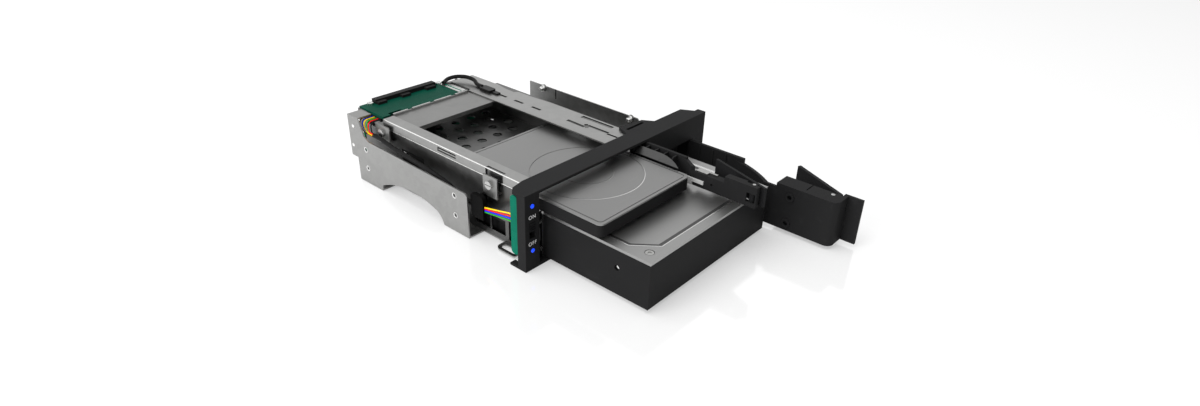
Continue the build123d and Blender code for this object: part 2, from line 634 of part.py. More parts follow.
def backplane_35():
    """Upright board behind the large bay."""
    left = BAY_LEFT + 7.7
    right = BAY_35_RIGHT - 2.6
    return block(left, right, BACKPLANE_FRONT, BACKPLANE_FRONT + BOARD, FLOOR_TOP, DIVIDER_BOTTOM)


def socket_35_span():
    """Left, right, bottom and top of the large drive's plug opening."""
    return DRIVE_35_LEFT + 27, DRIVE_35_LEFT + 73, DRIVE_35_LOW + 3, DRIVE_35_LOW + 10


def socket_35():
    left, right, low, high = socket_35_span()
    return block(
        left + 0.8, right - 0.8, BACKPLANE_FRONT - PLUG_DEPTH + 0.5, BACKPLANE_FRONT, low + 0.8, high - 0.8
    )


def rear_sockets():
    """Data socket and power socket on the rear of the backplane, open to the rear."""
    front = BACKPLANE_FRONT + BOARD
    rear = front + 8.5
    left = BAY_LEFT + 22
    data = block(left, left + 15, front, rear, FLOOR_TOP + 5, FLOOR_TOP + 11)
    data -= block(left + 1.4, left + 13.6, front + 2, rear, FLOOR_TOP + 6.4, FLOOR_TOP + 9.6)
    left += 32
    power = block(left, left + 24, front, rear, FLOOR_TOP + 4, FLOOR_TOP + 14)
    power -= block(left + 1.4, left + 22.6, front + 2, rear, FLOOR_TOP + 5.4, FLOOR_TOP + 12.6)
    return Compound([data, power])


def socket_25():
    """Small drive's socket, hung from the rear board."""
    left = BAY_LEFT + 16.7
    return block(left, left + 36, SOCKET_25_FRONT, BOARD_REAR - 1, DRIVE_25_LOW + 0.7, BOARD_LOW)


def header_front():
    return BOARD_FRONT + 3


def wire_header():
    """Wire plug under the board's left edge."""
    right = BOARD_LEFT + HEADER[0]
    rear = header_front() + HEADER[1]
    return block(BOARD_LEFT, right, header_front(), rear, BOARD_LOW - HEADER[2], BOARD_LOW)


def main_wire(number):
    """One of six wires from the plug under the board, out, down and into the sleeve, two by two."""
    pitch = HEADER[1] / len(WIRE_COLOURS)
    start_y = header_front() + HEADER[1] - pitch * (number + 0.5)
    height = BOARD_LOW - HEADER[2] / 2
    spacing = 2.1 * WIRE_RADIUS
    x, y, z = SLEEVE_START
    wire_x = x + spacing * (number % 2 - 0.5)
    wire_z = z + spacing * (number // 2 - 1)
    bulge_x = CAGE_LEFT + 2 + 0.45 * number
    points = [
        (BOARD_LEFT, start_y, height),
        (bulge_x, start_y + 0.3, height - 0.2),
        (wire_x, y + 10 - 1.5 * number, wire_z),
        (wire_x, y, wire_z),
    ]
    return tube(points, WIRE_RADIUS)


def cable_sleeve():
    """Black sleeve from the coloured wires, over the side bracket's edge, to the clip."""
    x, y, z = SLEEVE_START
    lane = CAGE_LEFT + 3
    points = [
        (x, y, z), (x, y - 6, z), (lane + 0.3, y - 17.5, 29.6), (lane, y - 33.5, 28.6),
        (lane - 0.1, y - 50.5, 27.4), (lane - 0.1, y - 66.5, 25.2), (lane, CLIP_REAR + 8.6, 20.6),
        (lane, CLIP_REAR, 20.6),
    ]
    return tube(points, SLEEVE_RADIUS)


def cable_clip():
    """Black clip in front of the left bracket, with an arm to the bay wall."""
    clip = block(CLIP_LEFT, CLIP_RIGHT, CLIP_FRONT, CLIP_REAR, 14.2, 27.4)
    clip = fillet(clip.edges().filter_by(Axis.X).sort_by(Axis.Z)[-2:], 1.6)
    return clip + block(CLIP_RIGHT, WALL_LEFT, CLIP_REAR - 3.4, CLIP_REAR - 1, 16, 25)


def led_wire(number):
    """One of four wires from the clip to the status board's rear edge."""
    start_z = 21.6 - 0.85 * number
    end_z = 28.6 - 1.35 * number
    board_rear = COLUMN_DEPTH + 5
    board_x = BEZEL_LEFT + 1.1
    points = [
        (CAGE_LEFT + 3, CLIP_FRONT, start_z),
        (CAGE_LEFT + 2.2, (CLIP_FRONT + board_rear) / 2, (start_z + end_z) / 2 - 0.5),
        (board_x, board_rear + 1.5, end_z),
        (board_x, board_rear, end_z),
    ]
    return tube(points, WIRE_RADIUS)


def rear_cable_plug():
    """Black plug on the right rail where the rear cable ends."""
    left = BOARD_RIGHT + 6
    front = BOARD_FRONT - 16.4
    plug = rounded_slab(left + 0.6, left + 6, front + 2.4, front + 12.4, RAIL_TOP, RAIL_TOP + 1.7, 1)
    return plug + block(left + 1.8, left + 4.8, front - 3, front + 2.4, RAIL_TOP, RAIL_TOP + 1)


def rear_cable_loop():
    """Black cable that loops over the right rail from the board's edge to its plug."""
    height = BOARD_TOP + CABLE_RADIUS
    points = [
        (BOARD_RIGHT - 4, BOARD_FRONT + 18, height),
        (BOARD_RIGHT + 1.6, BOARD_FRONT + 20.6, height + 0.8),
        (BOARD_RIGHT + 6.6, BOARD_FRONT + 18.6, height + 1.6),
        (BOARD_RIGHT + 10.6, BOARD_FRONT + 13, height + 2),
        (BOARD_RIGHT + 11.6, BOARD_FRONT + 6.2, height + 1.4),
        (BOARD_RIGHT + 9.5, BOARD_FRONT + 1, height),
        (BOARD_RIGHT + 9.5, BOARD_FRONT - 4, height),
    ]
    return tube(points, CABLE_RADIUS)


def ribbon_cable():
    """Flat dark strip beside the rear board."""
    left = BOARD_RIGHT + 0.4
    return block(left, left + 2.2, BOARD_FRONT + 0.4, BOARD_FRONT + 17.6, RAIL_TOP, RAIL_TOP + 0.4)


def knuckle(hinge, skin, z0, z1):
    """Quarter round end of a door's skin, with a boss on the hinge line and a web between them."""
    x, y = hinge
    radius = y
    shell = post(x, y, z0, z1, radius) - post(x, y, z0, z1, radius - skin)
    shell = shell & block(x, x + radius, y - radius, y, z0, z1)
    boss = (radius - skin) * 0.42
    web = block(x - skin / 2, x + skin / 2, y - radius + skin / 2, y, z0, z1)
    return shell + post(x, y, z0, z1, max(boss, skin + 0.3)) + web


def scoop(start, middle, end, skin, z0, z1):
    """Curved wall of a finger recess, from the door's skin back to its inner side."""
    corners = [(start[0] - 3.5, start[1]), (middle[0] - 1, middle[1]), (end[0] - 1.6, end[1])]
    front = ThreePointArc(*[(x, y - skin) for x, y in corners])
    rear = ThreePointArc(end, middle, start)
    outline = [front, Line(front @ 1, end), rear, Line(start, front @ 0)]
    return extrude(Pos(0, 0, z0) * make_face(outline), amount=z1 - z0, dir=(0, 0, 1))


def door_35():
    """Large swing door, closed: skin, finger scoop, latch block with two bosses, end flap."""
    z0 = DOOR_35_LOW
    z1 = DOOR_35_TOP
    skin = DOOR_35_SKIN
    depth = DOOR_35_DEPTH
    low_top = z1 - 2.4
    hinge_x = DOOR_35_HINGE[0]
    pin_x, pin_y = LEVER_35_PIN
    block_left = pin_x - 6.8
    block_right = pin_x + 28.2
    scoop_end = block_right + 7.5
    scoop_start = scoop_end + 26
    door = knuckle(DOOR_35_HINGE, skin, z0, z1)
    door += block(scoop_start - 5.5, hinge_x, 0, skin, z0, z1)
    door += scoop((scoop_start, skin), (scoop_end + 14, 5.4), (scoop_end, depth), 1.6, z0, low_top)
    door += block(block_right - 0.5, scoop_end, depth - 1.6, depth, z0, low_top)
    front = 3.3
    latch = block(block_left, block_right, front, depth, z0, z1)
    latch = fillet(latch.edges().filter_by(Axis.Z).group_by(Axis.Y)[-1].sort_by(Axis.X)[0], 4.2)
    latch -= block(pin_x - 3.6, pin_x + 4.6, front, pin_y + 3.2, z0 + 2.6, z1 - 2.6)
    latch -= block(pin_x + 5.7, block_right - 1.7, front + 1.6, depth - 1.8, z0, z1 - 1.6)
    latch -= block(pin_x + 12.1, pin_x + 12.7, front, depth - 3, z1 - 0.6, z1)
    door += latch
    door += block(block_left, block_left + 2.3, 0, front, z0, z1)
    door += block(COLUMN_RIGHT + 0.5, block_left, 0, 1.6, z0, z1)
    for z in door_35_screw_heights():
        door += rod_y(door_35_screw_x(), depth, depth + 0.7, z, 2.5)
        door -= rod_y(door_35_screw_x(), depth - 1.8, depth + 0.7, z, 1.3)
    for from_hinge in (35, 26, 17, 9):
        x = hinge_x - from_hinge
        door += block(x - 0.5, x + 0.5, skin, skin + 0.5, z0 + 1, z1 - 1)
    return open_35(door - post(*DOOR_35_HINGE, z0, z1, PIN_RADIUS_35 + PIN_CLEARANCE) - lever_35_pin_shape())


def door_35_screw_heights():
    return (DOOR_35_LOW + 4.5, DOOR_35_LOW + 20.1)


def door_35_screw_x():
    return LEVER_35_PIN[0] + 19.5


def door_35_screws():
    """Two small screws in the latch block's bosses."""
    screws = []
    for z in door_35_screw_heights():
        screws.append(rod_y(door_35_screw_x(), DOOR_35_DEPTH - 3.4, DOOR_35_DEPTH - 0.4, z, 1.3))
    return open_35(Compound(screws))


def lever_35_pin_shape():
    return post(*LEVER_35_PIN, DOOR_35_LOW + 0.4, DOOR_35_TOP, PIN_RADIUS_35)


def lever_35_pin():
    return open_35(lever_35_pin_shape())


def lever_35():
    """Large door's lever: a flat plate that closes flush with the door, on a tube round its pin."""
    x, y = LEVER_35_PIN
    z0 = DOOR_35_LOW + 0.4
    z1 = DOOR_35_TOP - 0.4
    plate = block(x - 1.3, x - 1.3 + LEVER_35_LENGTH, 0, 2, z0, z1)
    for low, high in ((z0 + 2.6, z0 + 9), (z1 - 9, z1 - 2.6)):
        plate += post(x, y, low, high, 2.4) + block(x - 1.3, x + 3, 1.5, y, low, high)
        plate -= post(x, y, low, high, PIN_RADIUS_35 + PIN_CLEARANCE)
    return open_35(turn(plate, LEVER_35_PIN, -LEVER_35_OPEN))


def door_25():
    """Small swing door, closed: skin with ribs, finger scoop, low block and taller latch end."""
    z0 = DOOR_25_LOW
    z1 = DOOR_25_TOP
    skin = DOOR_25_SKIN
    depth = DOOR_25_DEPTH
    hinge_x = DOOR_25_HINGE[0]
    pin_x, pin_y = LEVER_25_PIN
    latch_right = pin_x + 15.2
    block_right = low_block_right_25()
    scoop_end = block_right + 2.6
    scoop_start = scoop_end + 9.4
    door = knuckle(DOOR_25_HINGE, skin, z0, z1)
    door += block(scoop_start - 2.9, hinge_x, 0, skin, z0, z1)
    door += scoop((scoop_start, skin), (scoop_end + 4.5, 3.3), (scoop_end, depth), 1.4, z0, z1 - 1.2)
    door += block(block_right - 0.9, scoop_end + 0.3, depth - 1.4, depth, z0, z1 - 3.4)
    door += block(latch_right - 0.1, block_right, 2, depth, z0, z1 - 3.4)
    latch = block(pin_x - 3.5, latch_right, pin_y, depth, z0, z1)
    latch += block(pin_x + 4.1, latch_right, 2, pin_y, z0, z1)
    latch += post(pin_x, pin_y, z0, z1, 1.7)
    latch -= block(pin_x - 2.4, pin_x + 3.4, 0, pin_y + 2.1, z0 + 2, z1 - 2)
    latch -= rod_y(pin_x - 0.7, pin_y, depth, z0 + 4.7, 1.2)
    latch -= block(pin_x - 2.9, pin_x + 2.1, depth - 0.9, depth, z0 + 2.4, z0 + 7.4)
    door += latch
    door -= rod_y(block_right - 10.6, depth - 1, depth, z0 + 3.9, 0.7)
    for from_hinge in (6.9, 12.9, 18.9, 24.9):
        x = hinge_x - from_hinge
        door += upright(Polyline(*rib_corners_25(), close=True), x - 0.4, x + 0.4)
    return open_25(door - post(*DOOR_25_HINGE, z0, z1, PIN_RADIUS_25 + PIN_CLEARANCE) - lever_25_pin_shape())


def low_block_right_25():
    return LEVER_25_PIN[0] + 33


def pressure_plate_lift():
    """Depth and height where the pressure plate's lower edge stands, just over the drive."""
    return DOOR_25_DEPTH + 3.1, DRIVE_25_TOP + 0.4


def rib_corners_25():
    """Y and Z of a rib's corners, from the small door's skin to the leaning pressure plate."""
    reach, low = pressure_plate_lift()
    rise = DOOR_25_TOP - 0.6 - low
    return (DOOR_25_SKIN, low), (reach, low), (reach - rise / 0.75, low + rise), (DOOR_25_SKIN, low + rise)


def pressure_plate_25():
    """Steel crescent that leans on the ribs over the drive's edge."""
    right = DOOR_25_HINGE[0] - 2.9
    height = 4.8
    outline = [
        Polyline((right - 29.1, 0), (right, 0), (right, height), (right - 13, height)),
        ThreePointArc((right - 13, height), (right - 22.5, height - 1.4), (right - 29.1, 0)),
    ]
    reach, low = pressure_plate_lift()
    face = Plane((0, reach, low), x_dir=(1, 0, 0), z_dir=(0, -0.6, -0.8)) * make_face(outline)
    return open_25(extrude(face, amount=0.8, dir=(0, 0.6, 0.8)))


def hook_tab_25():
    """Small steel hook on the inner side of the small door's low block, with a foot at its hinge end."""
    z0 = DOOR_25_LOW + 0.3
    depth = DOOR_25_DEPTH
    left = low_block_right_25() - 5.9
    hook = block(left, left + 10.6, depth, depth + 0.8, z0 + 2, z0 + 3.9)
    return open_25(hook + block(left + 7, left + 10.6, depth, depth + 0.8, z0, z0 + 2))


def leaf_spring_25():
    """Bright steel leaf that lies on the small door's low block."""
    z0 = DOOR_25_TOP - 3.4
    right = low_block_right_25()
    leaf = block(right - 11.5, right, 2.2, 3.4, z0, z0 + 0.6)
    return open_25(leaf + block(right - 6.9, right, 3.4, 5.6, z0, z0 + 0.6))


def lever_25_pin_shape():
    return post(*LEVER_25_PIN, DOOR_25_LOW + 0.4, DOOR_25_TOP, PIN_RADIUS_25)


def lever_25_pin():
    return open_25(lever_25_pin_shape())


def lever_25():
    """Small door's lever, on a tube round its pin."""
    x, y = LEVER_25_PIN
    z0 = DOOR_25_LOW + 0.4
    z1 = DOOR_25_TOP - 0.4
    plate = block(x - 5.7, x - 5.7 + LEVER_25_LENGTH, 0, 1.4, z0, z1)
    low = DOOR_25_LOW + 2.3
    high = DOOR_25_TOP - 2.3
    plate += post(x, y, low, high, 1.8) + block(x - 1, x + 1.6, 1, y, low, high)
    plate -= post(x, y, low, high, PIN_RADIUS_25 + PIN_CLEARANCE)
    return open_25(turn(plate, LEVER_25_PIN, -LEVER_25_OPEN))


def drive_35_body():
    """Cast housing of the 3.5 inch drive: hollow under its cover, side holes, plug opening behind."""
    cover_low = DRIVE_35_TOP - DRIVE_35_COVER
    body = block(DRIVE_35_LEFT, DRIVE_35_RIGHT, DRIVE_35_FRONT, DRIVE_35_REAR, DRIVE_35_LOW, cover_low)
    floor = DRIVE_35_LOW + 8
    body -= block(
        DRIVE_35_LEFT + 8, DRIVE_35_RIGHT - 8, DRIVE_35_FRONT + 16, DRIVE_35_REAR - 24, floor, cover_low
    )
    left, right, low, high = socket_35_span()
    body -= block(left, right, DRIVE_35_REAR - PLUG_DEPTH, DRIVE_35_REAR, low, high)
    for from_front in (19, 79.3, 120.6):
        y = DRIVE_35_FRONT + from_front
        z = DRIVE_35_LOW + 14.4
        body -= rod_x(DRIVE_35_LEFT, DRIVE_35_LEFT + 3.5, y, z, 1.5)
        body -= rod_x(DRIVE_35_RIGHT - 3.5, DRIVE_35_RIGHT, y, z, 1.5)
    return body - [post(x, y, cover_low - 4, cover_low, 1.1) for x, y in drive_35_screw_places()]


def drive_35_screw_places():
    edge_x = 7.0
    edge_y = 6.1
    return [
        (x, y)
        for x in (DRIVE_35_LEFT + edge_x, DRIVE_35_RIGHT - edge_x)
        for y in (DRIVE_35_FRONT + edge_y, DRIVE_35_REAR - edge_y)
    ]


def drive_35_cover():
    """Steel cover with a shallow eight-sided field with sloped walls and four countersunk corners."""
    low = DRIVE_35_TOP - DRIVE_35_COVER
    cover = block(DRIVE_35_LEFT, DRIVE_35_RIGHT, DRIVE_35_FRONT, DRIVE_35_REAR, low, DRIVE_35_TOP)
    depth = 0.8
    side = 5.4 + depth
    left = DRIVE_35_LEFT + side
    right = DRIVE_35_RIGHT - side
    front = DRIVE_35_FRONT + side
    rear = DRIVE_35_REAR - side
    cut_x = 9.2
    cut_y = 11
    outline = make_face(Polyline(
        (left + cut_x, front), (right - cut_x, front), (right, front + cut_y), (right, rear - cut_y),
        (right - cut_x, rear), (left + cut_x, rear), (left, rear - cut_y), (left, front + cut_y), close=True,
    ))
    field = extrude(Pos(0, 0, DRIVE_35_TOP - depth) * outline, amount=depth, dir=(0, 0, 1), taper=-45)
    cover -= field
    for x, y in drive_35_screw_places():
        cover -= post(x, y, DRIVE_35_TOP - 0.7, DRIVE_35_TOP, 2.4)
        cover -= post(x, y, low, DRIVE_35_TOP, 1.1)
    return cover


def drive_35_screws():
    screws = []
    low = DRIVE_35_TOP - DRIVE_35_COVER
    for x, y in drive_35_screw_places():
        head = post(x, y, DRIVE_35_TOP - 0.7, DRIVE_35_TOP - 0.1, 2.1)
        head -= post(x, y, DRIVE_35_TOP - 0.4, DRIVE_35_TOP, 0.9)
        screws.append(head + post(x, y, low - 4, DRIVE_35_TOP - 0.7, 1.1))
    return Compound(screws)


def drive_25_body():
    """Housing of the 2.5 inch drive."""
    top = DRIVE_25_TOP - DRIVE_25_COVER
    body = rounded_slab(
        DRIVE_25_LEFT, DRIVE_25_RIGHT, DRIVE_25_FRONT, DRIVE_25_REAR, DRIVE_25_LOW, top, 3
    )
    return body - block(
        DRIVE_25_LEFT + 6, DRIVE_25_RIGHT - 6, DRIVE_25_FRONT + 8, DRIVE_25_REAR - 18, DRIVE_25_LOW + 3.6, top
    )


def drive_25_cover():
    """Cover of the 2.5 inch drive with a groove inside its edge and round beads over its platter."""
    low = DRIVE_25_TOP - DRIVE_25_COVER
    groove_low = DRIVE_25_TOP - 0.3
    cover = rounded_slab(
        DRIVE_25_LEFT, DRIVE_25_RIGHT, DRIVE_25_FRONT, DRIVE_25_REAR, low, DRIVE_25_TOP, 3
    )
    rings = []
    for inset, radius in ((1.6, 2.2), (2.1, 1.8)):
        rings.append(rounded_slab(
            DRIVE_25_LEFT + inset, DRIVE_25_RIGHT - inset, DRIVE_25_FRONT + inset, DRIVE_25_REAR - inset,
            groove_low, DRIVE_25_TOP, radius,
        ))
    cover -= rings[0] - rings[1]
    x = (DRIVE_25_LEFT + DRIVE_25_RIGHT) / 2 + 1.2
    y = DRIVE_25_FRONT + 41
    for radius in (29.9, 13.9):
        bead = post(x, y, groove_low, DRIVE_25_TOP, radius)
        cover -= bead - post(x, y, groove_low, DRIVE_25_TOP, radius - 0.4)
    return cover


os.makedirs("parts", exist_ok=True)

for piece in (
    bezel, led_lenses, switch_housing, switch_knob, led_board, catch_plate, catch_screws, hinge_pin_35,
    hinge_pin_25, base_plate, left_side_bracket, right_side_bracket, left_bay_wall, right_bay_wall,
    bay_guides, guide_wall_25, left_top_rail, right_top_rail, rail_brackets, rail_screws, divider_plate,
    rear_cross_plate, rear_board, rear_slot_connector, board_screws, backplane_35, rear_sockets, socket_35,
    socket_25, wire_header, cable_sleeve, cable_clip, rear_cable_plug, rear_cable_loop, ribbon_cable, door_35,
    door_35_screws, lever_35_pin, lever_35, door_25, pressure_plate_25, hook_tab_25, leaf_spring_25,
    lever_25_pin, lever_25, drive_35_body, drive_35_cover, drive_35_screws, drive_25_body, drive_25_cover,
):
    save(piece(), piece.__name__)

for number, colour in enumerate(WIRE_COLOURS):
    save(main_wire(number), f"wire_{colour}")

for number, colour in enumerate(LED_WIRE_COLOURS):
    save(led_wire(number), f"led_wire_{colour}")
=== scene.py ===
"""Looks of the hot swap drive cage: finishes, small fittings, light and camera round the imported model."""
import math

import bmesh
import bpy
from mathutils import Matrix, Vector


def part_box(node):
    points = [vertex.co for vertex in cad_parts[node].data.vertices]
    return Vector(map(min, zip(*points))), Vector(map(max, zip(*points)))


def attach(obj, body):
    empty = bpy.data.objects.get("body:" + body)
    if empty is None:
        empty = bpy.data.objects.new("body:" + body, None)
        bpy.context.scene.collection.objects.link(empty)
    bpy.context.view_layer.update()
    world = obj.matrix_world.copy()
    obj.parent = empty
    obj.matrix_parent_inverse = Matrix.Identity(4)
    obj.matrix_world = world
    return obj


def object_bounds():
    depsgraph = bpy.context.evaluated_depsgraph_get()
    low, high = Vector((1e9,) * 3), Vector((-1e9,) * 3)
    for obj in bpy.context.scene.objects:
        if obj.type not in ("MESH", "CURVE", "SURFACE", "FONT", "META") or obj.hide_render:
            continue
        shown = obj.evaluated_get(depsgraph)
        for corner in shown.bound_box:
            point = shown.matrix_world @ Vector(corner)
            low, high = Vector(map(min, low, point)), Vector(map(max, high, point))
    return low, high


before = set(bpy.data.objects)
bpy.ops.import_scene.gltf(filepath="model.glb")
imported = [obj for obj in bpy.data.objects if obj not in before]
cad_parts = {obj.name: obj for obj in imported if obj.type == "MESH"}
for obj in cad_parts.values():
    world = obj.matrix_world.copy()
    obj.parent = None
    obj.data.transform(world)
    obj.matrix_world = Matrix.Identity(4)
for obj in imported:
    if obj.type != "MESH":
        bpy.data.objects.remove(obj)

cad_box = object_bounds()
MM = 0.001
MATT_SHINE = 0.04
WIRE_SHINE = 0.14


class Shade:
    """A value inside a finish. Sums and products of shades add the Math nodes that work them out."""

    def __init__(self, finish, socket):
        self.finish = finish
        self.socket = socket

    def maths(self, operation, first, second=0.0):
        return self.finish.node("ShaderNodeMath", {"operation": operation}, {0: first, 1: second})

    def __add__(self, other):
        return self.maths("ADD", self, other)

    __radd__ = __add__

    def __sub__(self, other):
        return self.maths("SUBTRACT", self, other)

    def __rsub__(self, other):
        return self.maths("SUBTRACT", other, self)

    def __mul__(self, other):
        return self.maths("MULTIPLY", self, other)

    __rmul__ = __mul__

    def __gt__(self, other):
        return self.maths("GREATER_THAN", self, other)

    def __lt__(self, other):
        return self.maths("LESS_THAN", self, other)

    def __mod__(self, other):
        return self.maths("FLOORED_MODULO", self, other)

    def size(self):
        return self.maths("ABSOLUTE", self)

    def ramp(self, low, high):
        """Nought below one value, one above the other, and a smooth rise between them."""
        limits = {0: self, 1: low, 2: high, 3: 0.0, 4: 1.0}
        return self.finish.node("ShaderNodeMapRange", {"interpolation_type": "SMOOTHSTEP"}, limits)


class NodeTree:
    """A tree of shader nodes. Each node but those of the Shade sums is added by its one method, node."""

    def __init__(self, tree):
        self.tree = tree

    def node(self, kind, settings=None, sockets=None, output=0):
        node = self.tree.nodes.new(kind)
        for name, value in (settings or {}).items():
            setattr(node, name, value)
        for name, value in (sockets or {}).items():
            self.feed(node.inputs[name], value)
        return Shade(self, node.outputs[output])

    def feed(self, socket, value):
        if isinstance(value, Shade):
            self.tree.links.new(value.socket, socket)
        else:
            socket.default_value = value

    def blend(self, first, second, amount):
        """One shader laid over another."""
        return self.node("ShaderNodeMixShader", None, {0: amount, 1: first, 2: second})


class Finish(NodeTree):
    """A material with its node tree, and the few patterns that the finishes share."""

    def __init__(self, name):
        self.material = bpy.data.materials.new(name)
        self.material.use_nodes = True
        super().__init__(self.material.node_tree)
        self.shader = self.tree.nodes["Principled BSDF"]
        self.place = self.node("ShaderNodeVectorMath", {"operation": "SCALE"}, {
            0: self.node("ShaderNodeTexCoord", output="Object"), "Scale": 1 / MM,
        })

    def stretch(self, x, y, z):
        """The place in millimetres, stretched along each axis."""
        return self.node("ShaderNodeVectorMath", {"operation": "MULTIPLY"}, {0: self.place, 1: (x, y, z)})

    def axis(self, name):
        return self.node("ShaderNodeSeparateXYZ", None, {0: self.place}, output=name)

    def cloud(self, grain, detail=3.0, place=None):
        """Soft noise between 0 and 1, with patches of a size in millimetres."""
        return self.node("ShaderNodeTexNoise", None, {
            "Vector": place or self.place, "Scale": 1 / grain, "Detail": detail, "Roughness": 0.55,
        })

    def cells(self, grain, output="Color"):
        """Cells of a size in millimetres: a random colour for each, or the distance from its middle."""
        sockets = {"Vector": self.place, "Scale": 1 / grain}
        return self.node("ShaderNodeTexVoronoi", None, sockets, output=output)

    def mix(self, first, second, amount):
        colours = {0: amount}
        for index, colour in ((6, first), (7, second)):
            colours[index] = colour if isinstance(colour, Shade) else (*colour, 1.0)
        return self.node("ShaderNodeMix", {"data_type": "RGBA"}, colours, output=2)

    def bump(self, height, depth, strength=1.0, under=None):
        """Relief of a height between 0 and 1, with a depth in millimetres."""
        sockets = {"Height": height, "Distance": depth * MM, "Strength": strength}
        if under is not None:
            sockets["Normal"] = under
        return self.node("ShaderNodeBump", None, sockets)

    def coat(self, **values):
        """Sets or links the shader's own sockets."""
        for name, value in values.items():
            colour = isinstance(value, tuple)
            self.feed(self.shader.inputs[name.replace("_", " ")], (*value, 1.0) if colour else value)
        return self.material


def tint(tone, factor, lift=0.0):
    """A tone made darker or lighter."""
    return tuple(part * factor + lift for part in tone)


def pale_tint(tone, factor, lift=0.0):
    """A lighter tone that gives back no more light than falls on it."""
    return tuple(min(1.0, part) for part in tint(tone, factor, lift))


def moulded_plastic(name, tone, gloss=0.5, grain=0.35):
    """Spark-eroded black plastic: fine grain, slight flow marks, a little dust in the texture."""
    finish = Finish(name)
    fine = finish.cloud(grain, 2.0)
    flow = finish.cloud(38.0, 2.0)
    dust = finish.cloud(5.0, 5.0).ramp(0.55, 0.8)
    dark = finish.mix(tone, tint(tone, 1.35), flow)
    colour = finish.mix(dark, tint(tone, 1.9, 0.002), dust * 0.35)
    rough = gloss + fine * 0.1 + dust * 0.08
    relief = finish.bump(fine, 0.035, 0.5, finish.bump(finish.cloud(2.2), 0.02, 0.35))
    return finish.coat(Base_Color=colour, Roughness=rough, Normal=relief, Specular_IOR_Level=MATT_SHINE)


def zinc_sheet(name, tone, run, gloss):
    """Zinc-plated sheet: faint crystal patches, rolling lines and small handling scratches."""
    finish = Finish(name)
    patches = finish.node("ShaderNodeSeparateColor", None, {0: finish.cells(3.2)})
    lines = finish.cloud(0.5, 3.0, finish.stretch(*run))
    broad = finish.cloud(26.0, 3.0)
    scratch = finish.cloud(1.1, 2.0, finish.stretch(0.08, 1.4, 1.4)).ramp(0.66, 0.72)
    worn = finish.cloud(9.0, 5.0).ramp(0.52, 0.74)
    base = finish.mix(tint(tone, 0.86), tint(tone, 1.12), patches * 0.45 + broad * 0.55)
    base = finish.mix(base, pale_tint(tone, 1.25), lines.ramp(0.45, 0.85) * 0.28)
    base = finish.mix(base, tint(tone, 0.7), scratch * 0.35)
    rough = gloss + patches * 0.07 + lines * 0.08 + worn * 0.07
    relief = finish.bump(lines, 0.012, 0.35, finish.bump(patches, 0.006, 0.3))
    return finish.coat(Base_Color=base, Metallic=1.0, Roughness=rough, Normal=relief)


def turned_steel(name, tone, gloss=0.2):
    """Plated screws, pins and springs: fine turning marks and darker dirt in patches."""
    finish = Finish(name)
    marks = finish.cloud(0.12, 2.0)
    dirt = finish.cloud(1.6, 4.0).ramp(0.5, 0.78)
    base = finish.mix(tone, tint(tone, 0.55), dirt * 0.5)
    rough = gloss + marks * 0.1 + dirt * 0.12
    return finish.coat(Base_Color=base, Metallic=1.0, Roughness=rough, Normal=finish.bump(marks, 0.006, 0.4))


BUNDLE_SIZE = 7.5
TRACK_PITCH = 0.95
TRACK_HALF_WIDTH = 0.2
VIA_SPACING = 3.7
VIA_COPPER = (0.06, 0.12, 0.09)


def circuit_board(name, tone, upright=False, drawn=0.22, shine=MATT_SHINE):
    """Green lacquer over copper tracks that run in bundles, with small plated through holes."""
    finish = Finish(name)
    along = finish.axis("Y")
    across = finish.axis("Z" if upright else "X")
    bundle = finish.node("ShaderNodeSeparateColor", None, {0: finish.cells(BUNDLE_SIZE)})
    turned = bundle > 0.5
    run = across * (1.0 - turned) + along * turned
    track = ((run % TRACK_PITCH) - TRACK_PITCH / 2).size() < TRACK_HALF_WIDTH
    shown = bundle.ramp(0.2, 0.3) * (1.0 - bundle.ramp(0.82, 0.86))
    via = 1.0 - finish.cells(VIA_SPACING, output="Distance").ramp(0.07, 0.1)
    lacquer = finish.mix(tint(tone, 0.88), tint(tone, 1.14), finish.cloud(9.0))
    colour = finish.mix(lacquer, tint(tone, 2.0, 0.002), track * shown * drawn)
    colour = finish.mix(colour, VIA_COPPER, via * drawn * 1.6)
    relief = finish.bump(track * shown + via, 0.03, 0.5, finish.bump(finish.cloud(0.5), 0.01, 0.3))
    return finish.coat(
        Base_Color=colour, Roughness=0.42 + finish.cloud(0.8) * 0.14, Normal=relief, Specular_IOR_Level=shine
    )


def painted_casting(name, tone):
    """Black paint on a cast housing: fine orange peel and faint lighter rubs."""
    finish = Finish(name)
    peel = finish.cloud(0.7, 2.0)
    rub = finish.cloud(7.0, 5.0, finish.stretch(1.0, 0.4, 1.0)).ramp(0.58, 0.8)
    colour = finish.mix(tone, tint(tone, 2.2), rub * 0.35 + finish.cloud(30.0) * 0.3)
    return finish.coat(
        Base_Color=colour, Roughness=0.42 + peel * 0.08 + rub * 0.08, Normal=finish.bump(peel, 0.02, 0.5),
        Specular_IOR_Level=MATT_SHINE,
    )


def brushed_cover(name, tone, gloss=0.34):
    """Satin cover of a drive: matt blasted metal with soft clouds and the odd hairline."""
    finish = Finish(name)
    blasted = finish.cloud(0.25, 2.0)
    cloudy = finish.cloud(45.0, 3.0)
    hairline = finish.cloud(0.8, 2.0, finish.stretch(0.05, 1.6, 1.0)).ramp(0.69, 0.75)
    base = finish.mix(tint(tone, 0.93), tint(tone, 1.07), cloudy)
    base = finish.mix(base, pale_tint(tone, 1.4), hairline * 0.25 + blasted * 0.08)
    rough = gloss + blasted * 0.08 - hairline * 0.06
    relief = finish.bump(blasted, 0.008, 0.4)
    return finish.coat(Base_Color=base, Metallic=0.95, Roughness=rough, Normal=relief)


